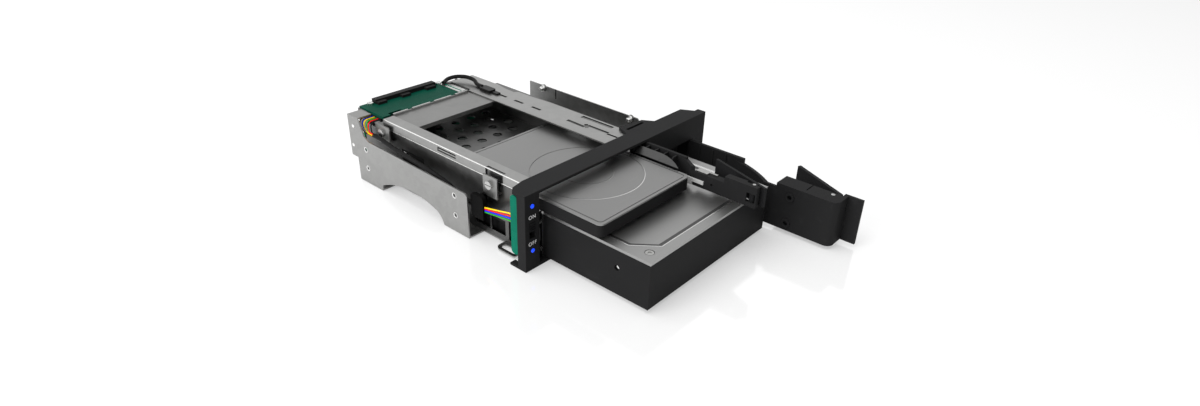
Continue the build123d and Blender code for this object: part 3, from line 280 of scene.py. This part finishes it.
def insulation(name, tone, gloss=0.36):
    """Plastic insulation of a wire or cable: slight waves in its skin and rubbed patches."""
    finish = Finish(name)
    rub = finish.cloud(2.6, 4.0).ramp(0.5, 0.8)
    wave = finish.cloud(0.9, 2.0)
    colour = finish.mix(tone, pale_tint(tone, 1.25, 0.01), rub * 0.5)
    rough = gloss + rub * 0.14
    relief = finish.bump(wave, 0.02, 0.4)
    return finish.coat(Base_Color=colour, Roughness=rough, Normal=relief, Specular_IOR_Level=WIRE_SHINE)


def glowing_lens(name):
    """Blue status lens that glows from within, with a faint swirl in its colour."""
    finish = Finish(name)
    swirl = finish.cloud(0.6, 3.0)
    return finish.coat(
        Base_Color=finish.mix((0.004, 0.03, 0.75), (0.01, 0.09, 1.0), swirl),
        Emission_Color=finish.mix((0.005, 0.03, 0.8), (0.03, 0.12, 1.0), swirl), Emission_Strength=0.75,
        Roughness=0.16 + swirl * 0.08, Normal=finish.bump(swirl, 0.01, 0.3),
    )


def printed_ink(name, tone):
    """Screen-printed marking with a faintly uneven edge of ink."""
    finish = Finish(name)
    uneven = finish.cloud(0.2, 3.0)
    return finish.coat(
        Base_Color=finish.mix(tint(tone, 0.86), tone, uneven), Roughness=0.5 + uneven * 0.1,
        Normal=finish.bump(uneven, 0.008, 0.3),
    )


# How the rolling lines of sheet metal are stretched: least along the way that the sheet was rolled
ROLLED_FLAT = (1.0, 0.06, 1.0)
ROLLED_CROSSWISE = (0.06, 1.0, 1.0)
ROLLED_UPRIGHT = (1.0, 0.06, 1.6)
ROLLED_BEND = (1.0, 0.2, 1.0)
ZINC = (0.33, 0.33, 0.325)
FINISHES = {
    "black_plastic": moulded_plastic("black_plastic_grained", (0.0125, 0.0125, 0.0128)),
    "lever_plastic": moulded_plastic("black_plastic_lever", (0.0105, 0.0105, 0.011), 0.42),
    "zinc_top": zinc_sheet("zinc_sheet_lengthwise", ZINC, ROLLED_FLAT, 0.26),
    "zinc_cross": zinc_sheet("zinc_sheet_cross", (0.262, 0.262, 0.258), ROLLED_CROSSWISE, 0.3),
    "zinc_side": zinc_sheet("zinc_sheet_side", ZINC, ROLLED_UPRIGHT, 0.34),
    # Lighter zinc for rounded edges, the cross plate's lip and the rear board's end plate: painted highlight
    "zinc_highlight": zinc_sheet("zinc_sheet_highlight", (0.62, 0.62, 0.61), ROLLED_BEND, 0.2),
    # Darker zinc for the inner bay wall, the small bay's guide wall and the divider: painted shade
    "zinc_shaded": zinc_sheet("zinc_sheet_painted_shade", (0.15, 0.15, 0.148), ROLLED_UPRIGHT, 0.3),
    "zinc_right": zinc_sheet("zinc_sheet_right", (0.26, 0.26, 0.257), ROLLED_UPRIGHT, 0.32),
    # Near-white zinc for the left rail's bends: painted highlight
    "zinc_bend_highlight": zinc_sheet("zinc_sheet_bend_highlight", (0.92, 0.92, 0.91), ROLLED_BEND, 0.2),
    "steel": turned_steel("bright_steel_turned", (0.5, 0.5, 0.495)),
    "bright_steel": turned_steel("bright_steel_polished", (0.86, 0.86, 0.85), 0.14),
    "spring_steel": turned_steel("bright_steel_leaf", (0.42, 0.42, 0.41), 0.26),
    "pressed_steel": turned_steel("bright_steel_pressed", (0.11, 0.11, 0.109), 0.3),
    "board": circuit_board("green_board_tracks", (0.0008, 0.039, 0.024), shine=0.05),
    "board_upright": circuit_board("green_board_tracks_upright", (0.0015, 0.11, 0.068), upright=True),
    "backplane": circuit_board("green_board_tracks_backplane", (0.002, 0.075, 0.042), drawn=0.6),
    # Lighter green for the boards' rounded edges: painted highlight
    "board_highlight": insulation("green_board_highlight", (0.006, 0.15, 0.09), 0.5),
    "drive_black": painted_casting("drive_black_painted", (0.0105, 0.0105, 0.0108)),
    "drive_silver": brushed_cover("drive_silver_satin", (0.325, 0.325, 0.322)),
    "drive_silver_small": brushed_cover("drive_silver_small_satin", (0.255, 0.255, 0.253)),
    "cable": insulation("cable_black_skin", (0.004, 0.004, 0.004), 0.32),
    "connector": moulded_plastic("connector_plastic_black", (0.009, 0.009, 0.009), 0.34, 0.2),
    "lens": glowing_lens("blue_lens_lit"),
    "ink": printed_ink("white_ink", (0.86, 0.86, 0.86)),
    "black_zinc": turned_steel("black_zinc_strip", (0.02, 0.02, 0.021), 0.3),
    # Lighter black for the rounded edges of plastic pieces: painted highlight
    "plastic_highlight": moulded_plastic("black_plastic_highlight", (0.034, 0.034, 0.035), 0.34),
    # Light silver for the covers' rounded edges and the bright bands round the large cover's field: painted
    # highlight
    "cover_highlight": brushed_cover("drive_silver_highlight", (0.62, 0.62, 0.615), 0.2),
    # The tab is plated metal drawn as matt light grey: its metal sheen is painted in
    "tab_painted_sheen": insulation("tab_painted_sheen_satin", (0.46, 0.46, 0.455), 0.34),
    # Dark silver line at the foot of the large cover's slope: painted shade
    "cover_shade_line": brushed_cover("drive_silver_shade_line", (0.1, 0.1, 0.099), 0.4),
    # Lighter silver for the bright arcs on the small cover's beads: painted highlight
    "cover_arc_highlight": brushed_cover("drive_silver_arc_highlight", (0.42, 0.42, 0.417), 0.3),
    # Near-black plastic: the cable clip's own colour, and painted shade on the dark sheets behind the slit,
    # the windows and the rear corner
    "black_and_shade": moulded_plastic("black_plastic_and_painted_shade", (0.003, 0.003, 0.003), 0.6),
}
NODE_FINISHES = {
    "black_plastic": "bezel switch_housing door_35 door_25 bay_guides",
    "black_and_shade": "cable_clip",
    "lever_plastic": "lever_35 lever_25 switch_knob",
    "zinc_top": "left_top_rail right_top_rail base_plate",
    "zinc_cross": "rear_cross_plate",
    "zinc_side": "left_side_bracket right_bay_wall rail_brackets",
    "zinc_shaded": "left_bay_wall guide_wall_25 divider_plate",
    "zinc_right": "right_side_bracket",
    "bright_steel": "board_screws",
    "steel": "catch_screws hinge_pin_35 hinge_pin_25 rail_screws lever_35_pin lever_25_pin",
    "black_zinc": "catch_plate door_35_screws",
    "spring_steel": "leaf_spring_25 drive_35_screws",
    "tab_painted_sheen": "hook_tab_25",
    "pressed_steel": "pressure_plate_25",
    "board": "rear_board",
    "board_upright": "led_board",
    "backplane": "backplane_35",
    "drive_black": "drive_35_body drive_25_body",
    "drive_silver": "drive_35_cover",
    "drive_silver_small": "drive_25_cover",
    "cable": "cable_sleeve rear_cable_plug rear_cable_loop ribbon_cable",
    "connector": "rear_slot_connector rear_sockets socket_35 socket_25 wire_header",
    "lens": "led_lenses",
}
WIRE_TONES = {
    "brown": (0.2, 0.085, 0.012), "blue": (0.012, 0.02, 0.72), "yellow": (0.82, 0.56, 0.01),
    "green": (0.02, 0.3, 0.03), "red": (0.72, 0.012, 0.012), "black": (0.008, 0.008, 0.008),
}
for wire_tone, colour in WIRE_TONES.items():
    FINISHES["wire_" + wire_tone] = insulation("wire_" + wire_tone + "_skin", colour)
    NODE_FINISHES["wire_" + wire_tone] = "wire_" + wire_tone
for wire_tone in ("yellow", "red", "blue", "green"):
    NODE_FINISHES["wire_" + wire_tone] += " led_wire_" + wire_tone

for finish_name, node_names in NODE_FINISHES.items():
    for node_name in node_names.split():
        for material_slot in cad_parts[node_name].material_slots:
            material_slot.material = FINISHES[finish_name]

# Width in millimetres of the rounded edges of the pieces that show them, and the finish of the edge: a
# lighter copy of the piece's finish that paints a highlight on it
ROUNDED_EDGES = (
    (0.22, "plastic_highlight", "bezel door_35"),
    (0.3, None, "cable_clip"),
    (0.16, "plastic_highlight", "door_25 lever_35 lever_25 switch_knob drive_35_body"),
    (0.16, None, "drive_25_body rear_cable_plug rear_slot_connector rear_sockets"),
    (0.34, "zinc_bend_highlight", "left_top_rail"),
    (0.22, "zinc_highlight", "right_top_rail rear_cross_plate left_side_bracket right_side_bracket"),
    (0.22, "zinc_highlight", "rail_brackets base_plate"),
    (0.12, "zinc_highlight", "left_bay_wall right_bay_wall guide_wall_25 divider_plate"),
    (0.16, "cover_highlight", "drive_35_cover drive_25_cover"),
    (0.14, "board_highlight", "led_board rear_board backplane_35"),
    (0.1, None, "catch_plate pressure_plate_25 hook_tab_25 leaf_spring_25 rail_screws board_screws"),
)
FLAT_ANGLE = 0.4
EDGE_ANGLE = 38


def round_edges(node, width, edge_highlight_finish=None):
    """Softens a piece's sharp edges, so that they catch the light as bent sheet and moulded plastic do. An
    edge finish, where one is given, paints a highlight on the rounded faces.
    """
    flat = node.modifiers.new("flat_faces", "DECIMATE")
    flat.decimate_type = "DISSOLVE"
    flat.angle_limit = math.radians(FLAT_ANGLE)
    edge = node.modifiers.new("soft_edges", "BEVEL")
    edge.width = width * MM
    edge.segments = 2
    edge.limit_method = "ANGLE"
    edge.angle_limit = math.radians(EDGE_ANGLE)
    edge.use_clamp_overlap = True
    if edge_highlight_finish:
        node.data.materials.append(FINISHES[edge_highlight_finish])
        edge.material = len(node.data.materials) - 1


for edge_width, edge_highlight_finish, node_names in ROUNDED_EDGES:
    for node_name in node_names.split():
        round_edges(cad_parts[node_name], edge_width, edge_highlight_finish)

WORD_SIZE = 2.9
WORD_HEIGHTS = {"ON": 29.7, "OFF": 15.0}
COLUMN_MIDDLE = -69.75


def print_word(word, height):
    """Printed marking on the front of the status column."""
    name = "word_" + word.lower()
    text = bpy.data.curves.new(name, "FONT")
    text.body = word
    text.size = WORD_SIZE * MM
    text.space_character = 1.12
    text.align_x = "CENTER"
    text.align_y = "CENTER"
    text.extrude = 0.02 * MM
    text.materials.append(FINISHES["ink"])
    piece = bpy.data.objects.new(name, text)
    piece.location = Vector((COLUMN_MIDDLE, -0.02, height)) * MM
    piece.rotation_euler = (math.radians(90), 0, 0)
    bpy.context.scene.collection.objects.link(piece)
    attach(piece, "cage")


for printed, printed_height in WORD_HEIGHTS.items():
    print_word(printed, printed_height)


def node_box(node):
    """Lowest and highest corner of a node at rest, in millimetres."""
    return [Vector(corner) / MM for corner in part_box(node)]


def add_piece(name, body, finish, shape, edge=0.0):
    """Makes a piece of a shape drawn in millimetres, and lets it ride on its body."""
    bmesh.ops.recalc_face_normals(shape, faces=shape.faces)
    bmesh.ops.scale(shape, vec=(MM, MM, MM), verts=shape.verts)
    mesh = bpy.data.meshes.new(name)
    shape.to_mesh(mesh)
    shape.free()
    mesh.materials.append(FINISHES[finish])
    piece = bpy.data.objects.new(name, mesh)
    bpy.context.scene.collection.objects.link(piece)
    if edge:
        round_edges(piece, edge)
    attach(piece, body)
    return piece


TURNED_SIDES = 28


def turned_piece(name, body, finish, foot, along, profile):
    """A turned part: the radius and height of each step of its profile, from its foot along its axis."""
    shape = bmesh.new()
    facing = Vector(along).to_track_quat("Z", "Y").to_matrix()
    rings = []
    for radius, height in profile:
        ring = []
        for number in range(TURNED_SIDES):
            angle = 2 * math.pi * number / TURNED_SIDES
            corner = Vector((radius * math.cos(angle), radius * math.sin(angle), height))
            ring.append(shape.verts.new(Vector(foot) + facing @ corner))
        rings.append(ring)
    for lower, upper in zip(rings, rings[1:]):
        for number in range(TURNED_SIDES):
            shape.faces.new((lower[number - 1], lower[number], upper[number], upper[number - 1]))
    if profile[0] == profile[-1]:
        bmesh.ops.remove_doubles(shape, verts=shape.verts, dist=0.001)
    else:
        shape.faces.new(rings[0])
        shape.faces.new(rings[-1])
    add_piece(name, body, finish, shape)


def clipped_corners(width, height, clip):
    """Outline of a rectangle with its four corners cut off."""
    return [
        (clip, 0), (width - clip, 0), (width, clip), (width, height - clip),
        (width - clip, height), (clip, height), (0, height - clip), (0, clip),
    ]


def pressed_plate(name, finish, corner, across, up, measures, thickness, edge=0.05):
    """A flat plate on the cage, with a width, a height and clipped corners, made thick towards the viewer."""
    across = Vector(across)
    up = Vector(up)
    shape = bmesh.new()
    corners = [Vector(corner) + across * u + up * v for u, v in clipped_corners(*measures)]
    face = shape.faces.new([shape.verts.new(point) for point in corners])
    grown = bmesh.ops.extrude_face_region(shape, geom=[face])["geom"]
    raised = [part for part in grown if isinstance(part, bmesh.types.BMVert)]
    bmesh.ops.translate(shape, vec=across.cross(up) * thickness, verts=raised)
    add_piece(name, "cage", finish, shape, edge)


def ribbon(name, body, finish, inner, outer, closed=True):
    """A thin band between two lines with the same number of points."""
    shape = bmesh.new()
    lines = [[shape.verts.new(point) for point in line] for line in (inner, outer)]
    for number in range(0 if closed else 1, len(inner)):
        shape.faces.new((lines[0][number - 1], lines[0][number], lines[1][number], lines[1][number - 1]))
    piece = add_piece(name, body, finish, shape)
    skin = piece.modifiers.new("skin", "SOLIDIFY")
    skin.thickness = 0.02 * MM


def folded_ribbon(face_name, edge_name, finish, lines):
    """Two thin bands of painted highlight on the cage that meet along the middle one of three lines."""
    ribbon(face_name, "cage", finish, lines[0], lines[1], closed=False)
    ribbon(edge_name, "cage", finish, lines[1], lines[2], closed=False)


# Large drive's cover: painted highlights on the slope and rim round its eight-sided field, and a painted
# shade line at the slope's foot.
# Each band has a distance out from the field's foot and a height over it, for its inner and outer line.
FIELD_INSET = 6.2
FIELD_DEPTH = 0.8
FIELD_CUT = (9.2, 11.0)
FIELD_BANDS = (
    ("cover_35_slope_highlight", "cover_highlight", (0.2, 0.28), (0.82, 0.88)),
    ("cover_35_rim_highlight", "cover_highlight", (0.82, 0.86), (1.3, 0.84)),
    ("cover_35_foot_shade", "cover_shade_line", (-1.8, 0.05), (0.05, 0.12)),
)


def field_corners(grown, height):
    """Eight corners of the field, moved out from its foot by one distance, at a height over its foot."""
    low, high = node_box("drive_35_cover")
    cut_x, cut_y = FIELD_CUT
    long_side = math.hypot(cut_x, cut_y)
    inset = FIELD_INSET - grown
    clip_x = cut_x + grown * (1 - (long_side - cut_x) / cut_y)
    clip_y = cut_y + grown * (1 - (long_side - cut_y) / cut_x)
    left, front, right, rear = low.x + inset, low.y + inset, high.x - inset, high.y - inset
    z = high.z - FIELD_DEPTH + height
    return [
        (left + clip_x, front, z), (right - clip_x, front, z),
        (right, front + clip_y, z), (right, rear - clip_y, z),
        (right - clip_x, rear, z), (left + clip_x, rear, z),
        (left, rear - clip_y, z), (left, front + clip_y, z),
    ]


for band_name, band_finish, inner_line, outer_line in FIELD_BANDS:
    ribbon(band_name, "drive_35", band_finish, field_corners(*inner_line), field_corners(*outer_line))

ARC_SHIFT = 1.2
ARC_DEPTH = 41
ARC_STEPS = 48


def bead_arc(name, finish, radius, start, end, width):
    """Tapered painted highlight of polished metal on a round bead of the small drive's cover."""
    low, high = node_box("drive_25_cover")
    centre = Vector(((low.x + high.x) / 2 + ARC_SHIFT, low.y + ARC_DEPTH, high.z + 0.03))
    lines = ([], [])
    for number in range(ARC_STEPS + 1):
        share = number / ARC_STEPS
        angle = math.radians(start + (end - start) * share)
        half = 0.02 + width / 2 * math.sin(math.pi * share)
        for line, reach in zip(lines, (radius - half, radius + half)):
            line.append(centre + Vector((reach * math.cos(angle), reach * math.sin(angle), 0)))
    ribbon(name, "drive_25", finish, *lines, closed=False)


bead_arc("cover_25_outer_arc_highlight", "cover_highlight", 29.9, -155, -25, 0.5)
bead_arc("cover_25_inner_arc_highlight", "cover_arc_highlight", 13.9, -130, -20, 0.25)

LEFTWARD = (-1, 0, 0)
RIGHTWARD = (1, 0, 0)
FORWARD = (0, -1, 0)
REARWARD = (0, 1, 0)
UPWARD = (0, 0, 1)

# Profiles of the turned parts: radius and height of each step, in millimetres
COLLAR = [(1.15, 0.0), (1.62, 0.0), (1.62, 0.82), (1.3, 0.84), (1.15, 0.6), (1.15, 0.0)]
THROUGH_SCREW = [
    (2.4, 0.0), (2.7, 0.35), (2.7, 0.7), (1.5, 0.7), (1.5, 1.8),
    (2.3, 1.8), (2.3, 2.9), (1.45, 2.9), (1.45, 4.4), (1.0, 4.9),
]
RIVET = [(1.15, 0.0), (1.1, 0.2), (0.75, 0.4), (0.2, 0.48)]
CARRIER_SCREW = [(1.25, 0.0), (1.25, 0.5), (0.9, 0.75), (0.45, 0.8), (0.4, 0.5)]
INSERT = [(1.4, 0.0), (1.4, 0.7), (0.95, 1.0), (0.5, 1.05)]

# Places along the depth and up, in millimetres
SIDE_ROWS = (10.2, 22.04)
SIDE_COLUMNS = (54.5, 133.75)
RIVET_PLACES = ((146.2, 21.4), (144.0, 34.0))
CARRIER_SCREW_PLACES = ((108.2, 25.1), (104.4, 24.1))
INSERT_DEPTHS = (-44.6, 15.7, 57.0)
INSERT_HEIGHT = 16.4
BRACKET_SHEET = 0.8
SCREW_HEAD = 0.7


def fit_brackets():
    """Collars in the side holes, screws through the right bracket's upper ones, and rivets on the left."""
    left_face = node_box("left_side_bracket")[0].x
    right_face = node_box("right_side_bracket")[1].x
    for column, depth in enumerate(SIDE_COLUMNS):
        for row, height in enumerate(SIDE_ROWS):
            label = str(column) + "_" + str(row)
            foot = (left_face + BRACKET_SHEET, depth, height)
            turned_piece("left_collar_" + label, "cage", "bright_steel", foot, LEFTWARD, COLLAR)
            if row:
                foot = (right_face + SCREW_HEAD, depth, height)
                turned_piece("right_screw_" + label, "cage", "bright_steel", foot, LEFTWARD, THROUGH_SCREW)
            else:
                foot = (right_face - BRACKET_SHEET, depth, height)
                turned_piece("right_collar_" + label, "cage", "steel", foot, RIGHTWARD, COLLAR)
    for number, place in enumerate(RIVET_PLACES):
        foot = (left_face, *place)
        turned_piece("bracket_rivet_" + str(number), "cage", "bright_steel", foot, LEFTWARD, RIVET)
    # Dark strip behind the right bracket's slit: painted shade
    slit_corner = (right_face - 0.1, 122.28, 17.02)
    pressed_plate("slit_painted_shade", "black_and_shade", slit_corner, FORWARD, UPWARD, (0.96, 6.9, 0.1), 0.6, 0)


def fit_walls():
    """Dark sheet of painted shade behind the large bay's windows, the carrier with its screws behind the left
    wall's, and a dark sheet of painted shade at the large bay's rear end.
    """
    shade_corner = (node_box("right_bay_wall")[0].x - 0.02, 148.0, 8.6)
    pressed_plate("right_wall_painted_shade", "black_and_shade", shade_corner, FORWARD, UPWARD, (112, 12.8, 2.0), 0.1, 0)
    carrier_back = node_box("left_bay_wall")[0].x + 0.55
    carrier_corner = (carrier_back, 111.7, 19.1)
    pressed_plate("wall_carrier", "connector", carrier_corner, FORWARD, UPWARD, (19.8, 7.8, 0.6), 0.4)
    for number, place in enumerate(CARRIER_SCREW_PLACES):
        foot = (carrier_back - 0.4, *place)
        turned_piece("carrier_screw_" + str(number), "cage", "bright_steel", foot, LEFTWARD, CARRIER_SCREW)
    # Dark sheet closing the rear corner of the large bay: painted shade
    end_corner = (node_box("right_bay_wall")[0].x + 0.05, 164.0, 2.1)
    pressed_plate("wall_end_painted_shade", "black_and_shade", end_corner, FORWARD, UPWARD, (13.9, 26.0, 0.4), 0.5)


# Width of the painted highlight on the rail's bends, and its lift off the sheet
BEND = 0.34
BEND_LIFT = 0.03


def shine_rail():
    """Painted highlights along the bends at the upper and lower edge of the left rail's outer side."""
    low, high = node_box("left_top_rail")
    ends = (low.y + 3, high.y - 1)
    for name, bend_z, inward in (("rail_upper_bend_highlight", high.z, -1), ("rail_lower_bend_highlight", low.z, 1)):
        lines = [
            [(low.x - BEND_LIFT + across, depth, bend_z + up) for depth in ends]
            for across, up in ((0.0, inward * BEND), (0.0, -inward * BEND_LIFT), (BEND, -inward * BEND_LIFT))
        ]
        folded_ribbon(name + "_face", name + "_edge", "zinc_bend_highlight", lines)


def fit_boards():
    """Plate on the rear board's right end in the lighter zinc of painted highlights, the green edge beside
    it, and a dark sheet of painted shade on the backplane's side.
    """
    high = node_box("rear_board")[1]
    # The end plate wears the lighter zinc of painted highlights
    plate_corner = (high.x - 5.4, 129.2, high.z + 0.05)
    pressed_plate("board_end_plate", "zinc_highlight", plate_corner, RIGHTWARD, REARWARD, (5.6, 22.8, 0.6), 0.3)
    line_corner = (high.x - 3.4, 130.0, high.z + 0.32)
    line_measures = (0.7, 21.0, 0.1)
    pressed_plate("board_end_line", "board_upright", line_corner, RIGHTWARD, REARWARD, line_measures, 0.1, 0)
    # Dark sheet beside the backplane, closing the rear corner: painted shade
    shade_corner = (node_box("backplane_35")[1].x - 0.1, 162.45, 2.1)
    pressed_plate("backplane_side_painted_shade", "black_and_shade", shade_corner, RIGHTWARD, UPWARD, (3.2, 25.9, 0.3), 0.35)


def fit_inserts():
    """Threaded inserts in the large drive's left side holes."""
    seat = node_box("drive_35_body")[0].x + 1.9
    for number, depth in enumerate(INSERT_DEPTHS):
        foot = (seat, depth, INSERT_HEIGHT)
        turned_piece("side_insert_" + str(number), "drive_35", "bright_steel", foot, LEFTWARD, INSERT)


LIP_START = 6.4
LIP_DEPTH = 0.83
LIP_RUNS = ((0.0, 10.3), (13.3, 26.3), (29.3, 42.3), (45.3, 55.3))


def shine_lip():
    """Painted highlight on the edge of the cross plate's lip, between its three notches."""
    low, high = node_box("rear_cross_plate")
    for number, run in enumerate(LIP_RUNS):
        lines = [
            [(low.x + LIP_START + along, high.y - LIP_DEPTH + back, high.z - drop) for along in run]
            for back, drop in ((0.0, 0.62), (0.0, -0.02), (0.8, -0.02))
        ]
        folded_ribbon("lip_face_highlight_" + str(number), "lip_edge_highlight_" + str(number), "zinc_highlight", lines)


fit_brackets()
fit_walls()
shine_rail()
fit_boards()
fit_inserts()
shine_lip()

# Camera of the photograph, found from known points of the object: degrees and millimetres
CAMERA_TURN = -49.86
CAMERA_TILT = 29.0
CAMERA_ROLL = 1.97
CAMERA_PLACE = (-284.7, -223.1, 209.5)
CAMERA_LENS = 22.5
CAMERA_SENSOR = 36.0


def place_camera():
    turn, tilt, roll = (math.radians(angle) for angle in (CAMERA_TURN, CAMERA_TILT, CAMERA_ROLL))
    back = Vector((math.sin(turn) * math.cos(tilt), -math.cos(turn) * math.cos(tilt), math.sin(tilt)))
    right = Vector(UPWARD).cross(back).normalized()
    up = back.cross(right)
    rolled_right = right * math.cos(roll) + up * math.sin(roll)
    rolled_up = up * math.cos(roll) - right * math.sin(roll)
    camera = bpy.data.objects.new("camera", bpy.data.cameras.new("camera"))
    camera.matrix_world = Matrix.Translation(Vector(CAMERA_PLACE) * MM) @ Matrix(
        (rolled_right, rolled_up, back)
    ).transposed().to_4x4()
    camera.data.lens = CAMERA_LENS
    camera.data.sensor_width = CAMERA_SENSOR
    camera.data.clip_start = 0.005
    bpy.context.scene.collection.objects.link(camera)
    bpy.context.scene.camera = camera


LAMP_POWER = 16.0


def place_lamp(name, place, aim, width):
    """A large soft lamp, with its place, aim and width in metres, that bright metal doesn't mirror."""
    lamp = bpy.data.objects.new(name, bpy.data.lights.new(name, "AREA"))
    lamp.data.size = width
    lamp.data.energy = LAMP_POWER
    lamp.location = place
    lamp.rotation_euler = (Vector(aim) - Vector(place)).to_track_quat("-Z", "Y").to_euler()
    lamp.visible_glossy = False
    bpy.context.scene.collection.objects.link(lamp)


SOFT_LIGHT = 0.6


def light_world():
    """White for the camera and for reflections, and a plain soft light on everything else."""
    world = bpy.data.worlds.new("studio")
    bpy.context.scene.world = world
    world.use_nodes = True
    studio = NodeTree(world.node_tree)
    camera_ray = studio.node("ShaderNodeLightPath", output="Is Camera Ray")
    mirror_ray = studio.node("ShaderNodeLightPath", output="Is Glossy Ray")
    seen = (camera_ray + mirror_ray).ramp(0.0, 1.0)
    backdrop = studio.tree.nodes["Background"]
    studio.feed(backdrop.inputs["Strength"], SOFT_LIGHT + seen * (1.0 - SOFT_LIGHT))
    studio.feed(backdrop.inputs["Color"], (1.0, 1.0, 1.0, 1.0))


FLOOR_REACH = 6.0
FLOOR_GAP = 0.0002


def lay_floor():
    """White floor that keeps the soft shadow and gives back a faint reflection of the object."""
    outline = bmesh.new()
    bmesh.ops.create_grid(outline, x_segments=1, y_segments=1, size=FLOOR_REACH)
    mesh = bpy.data.meshes.new("studio_floor")
    outline.to_mesh(mesh)
    outline.free()
    floor = bpy.data.objects.new("studio_floor", mesh)
    floor.location.z = cad_box[0][2] - FLOOR_GAP
    bpy.context.scene.collection.objects.link(floor)
    paper = Finish("floor_white")
    paper.coat(Base_Color=(0.8, 0.8, 0.8), Roughness=0.8)
    matt = paper.node("ShaderNodeBsdfDiffuse", None, {"Color": (0.93, 0.93, 0.93, 1.0)})
    polish = paper.node("ShaderNodeBsdfGlossy", None, {"Roughness": 0.1})
    glow = paper.node("ShaderNodeEmission", None, {"Strength": 1.0})
    shown = paper.blend(paper.blend(matt, polish, 0.3), glow, 0.42)
    seen = paper.node("ShaderNodeLightPath", output="Is Camera Ray")
    plain = Shade(paper, paper.shader.outputs[0])
    paper.feed(paper.tree.nodes["Material Output"].inputs[0], paper.blend(plain, shown, seen))
    mesh.materials.append(paper.material)


bpy.context.scene.view_settings.view_transform = "Standard"
place_camera()
light_world()
place_lamp("lamp_above", (-0.35, 0.3, 1.3), (0.0, 0.04, 0.0), 1.2)
place_lamp("lamp_left", (-1.3, 0.3, 0.5), (0.0, 0.0, 0.02), 1.0)
lay_floor()
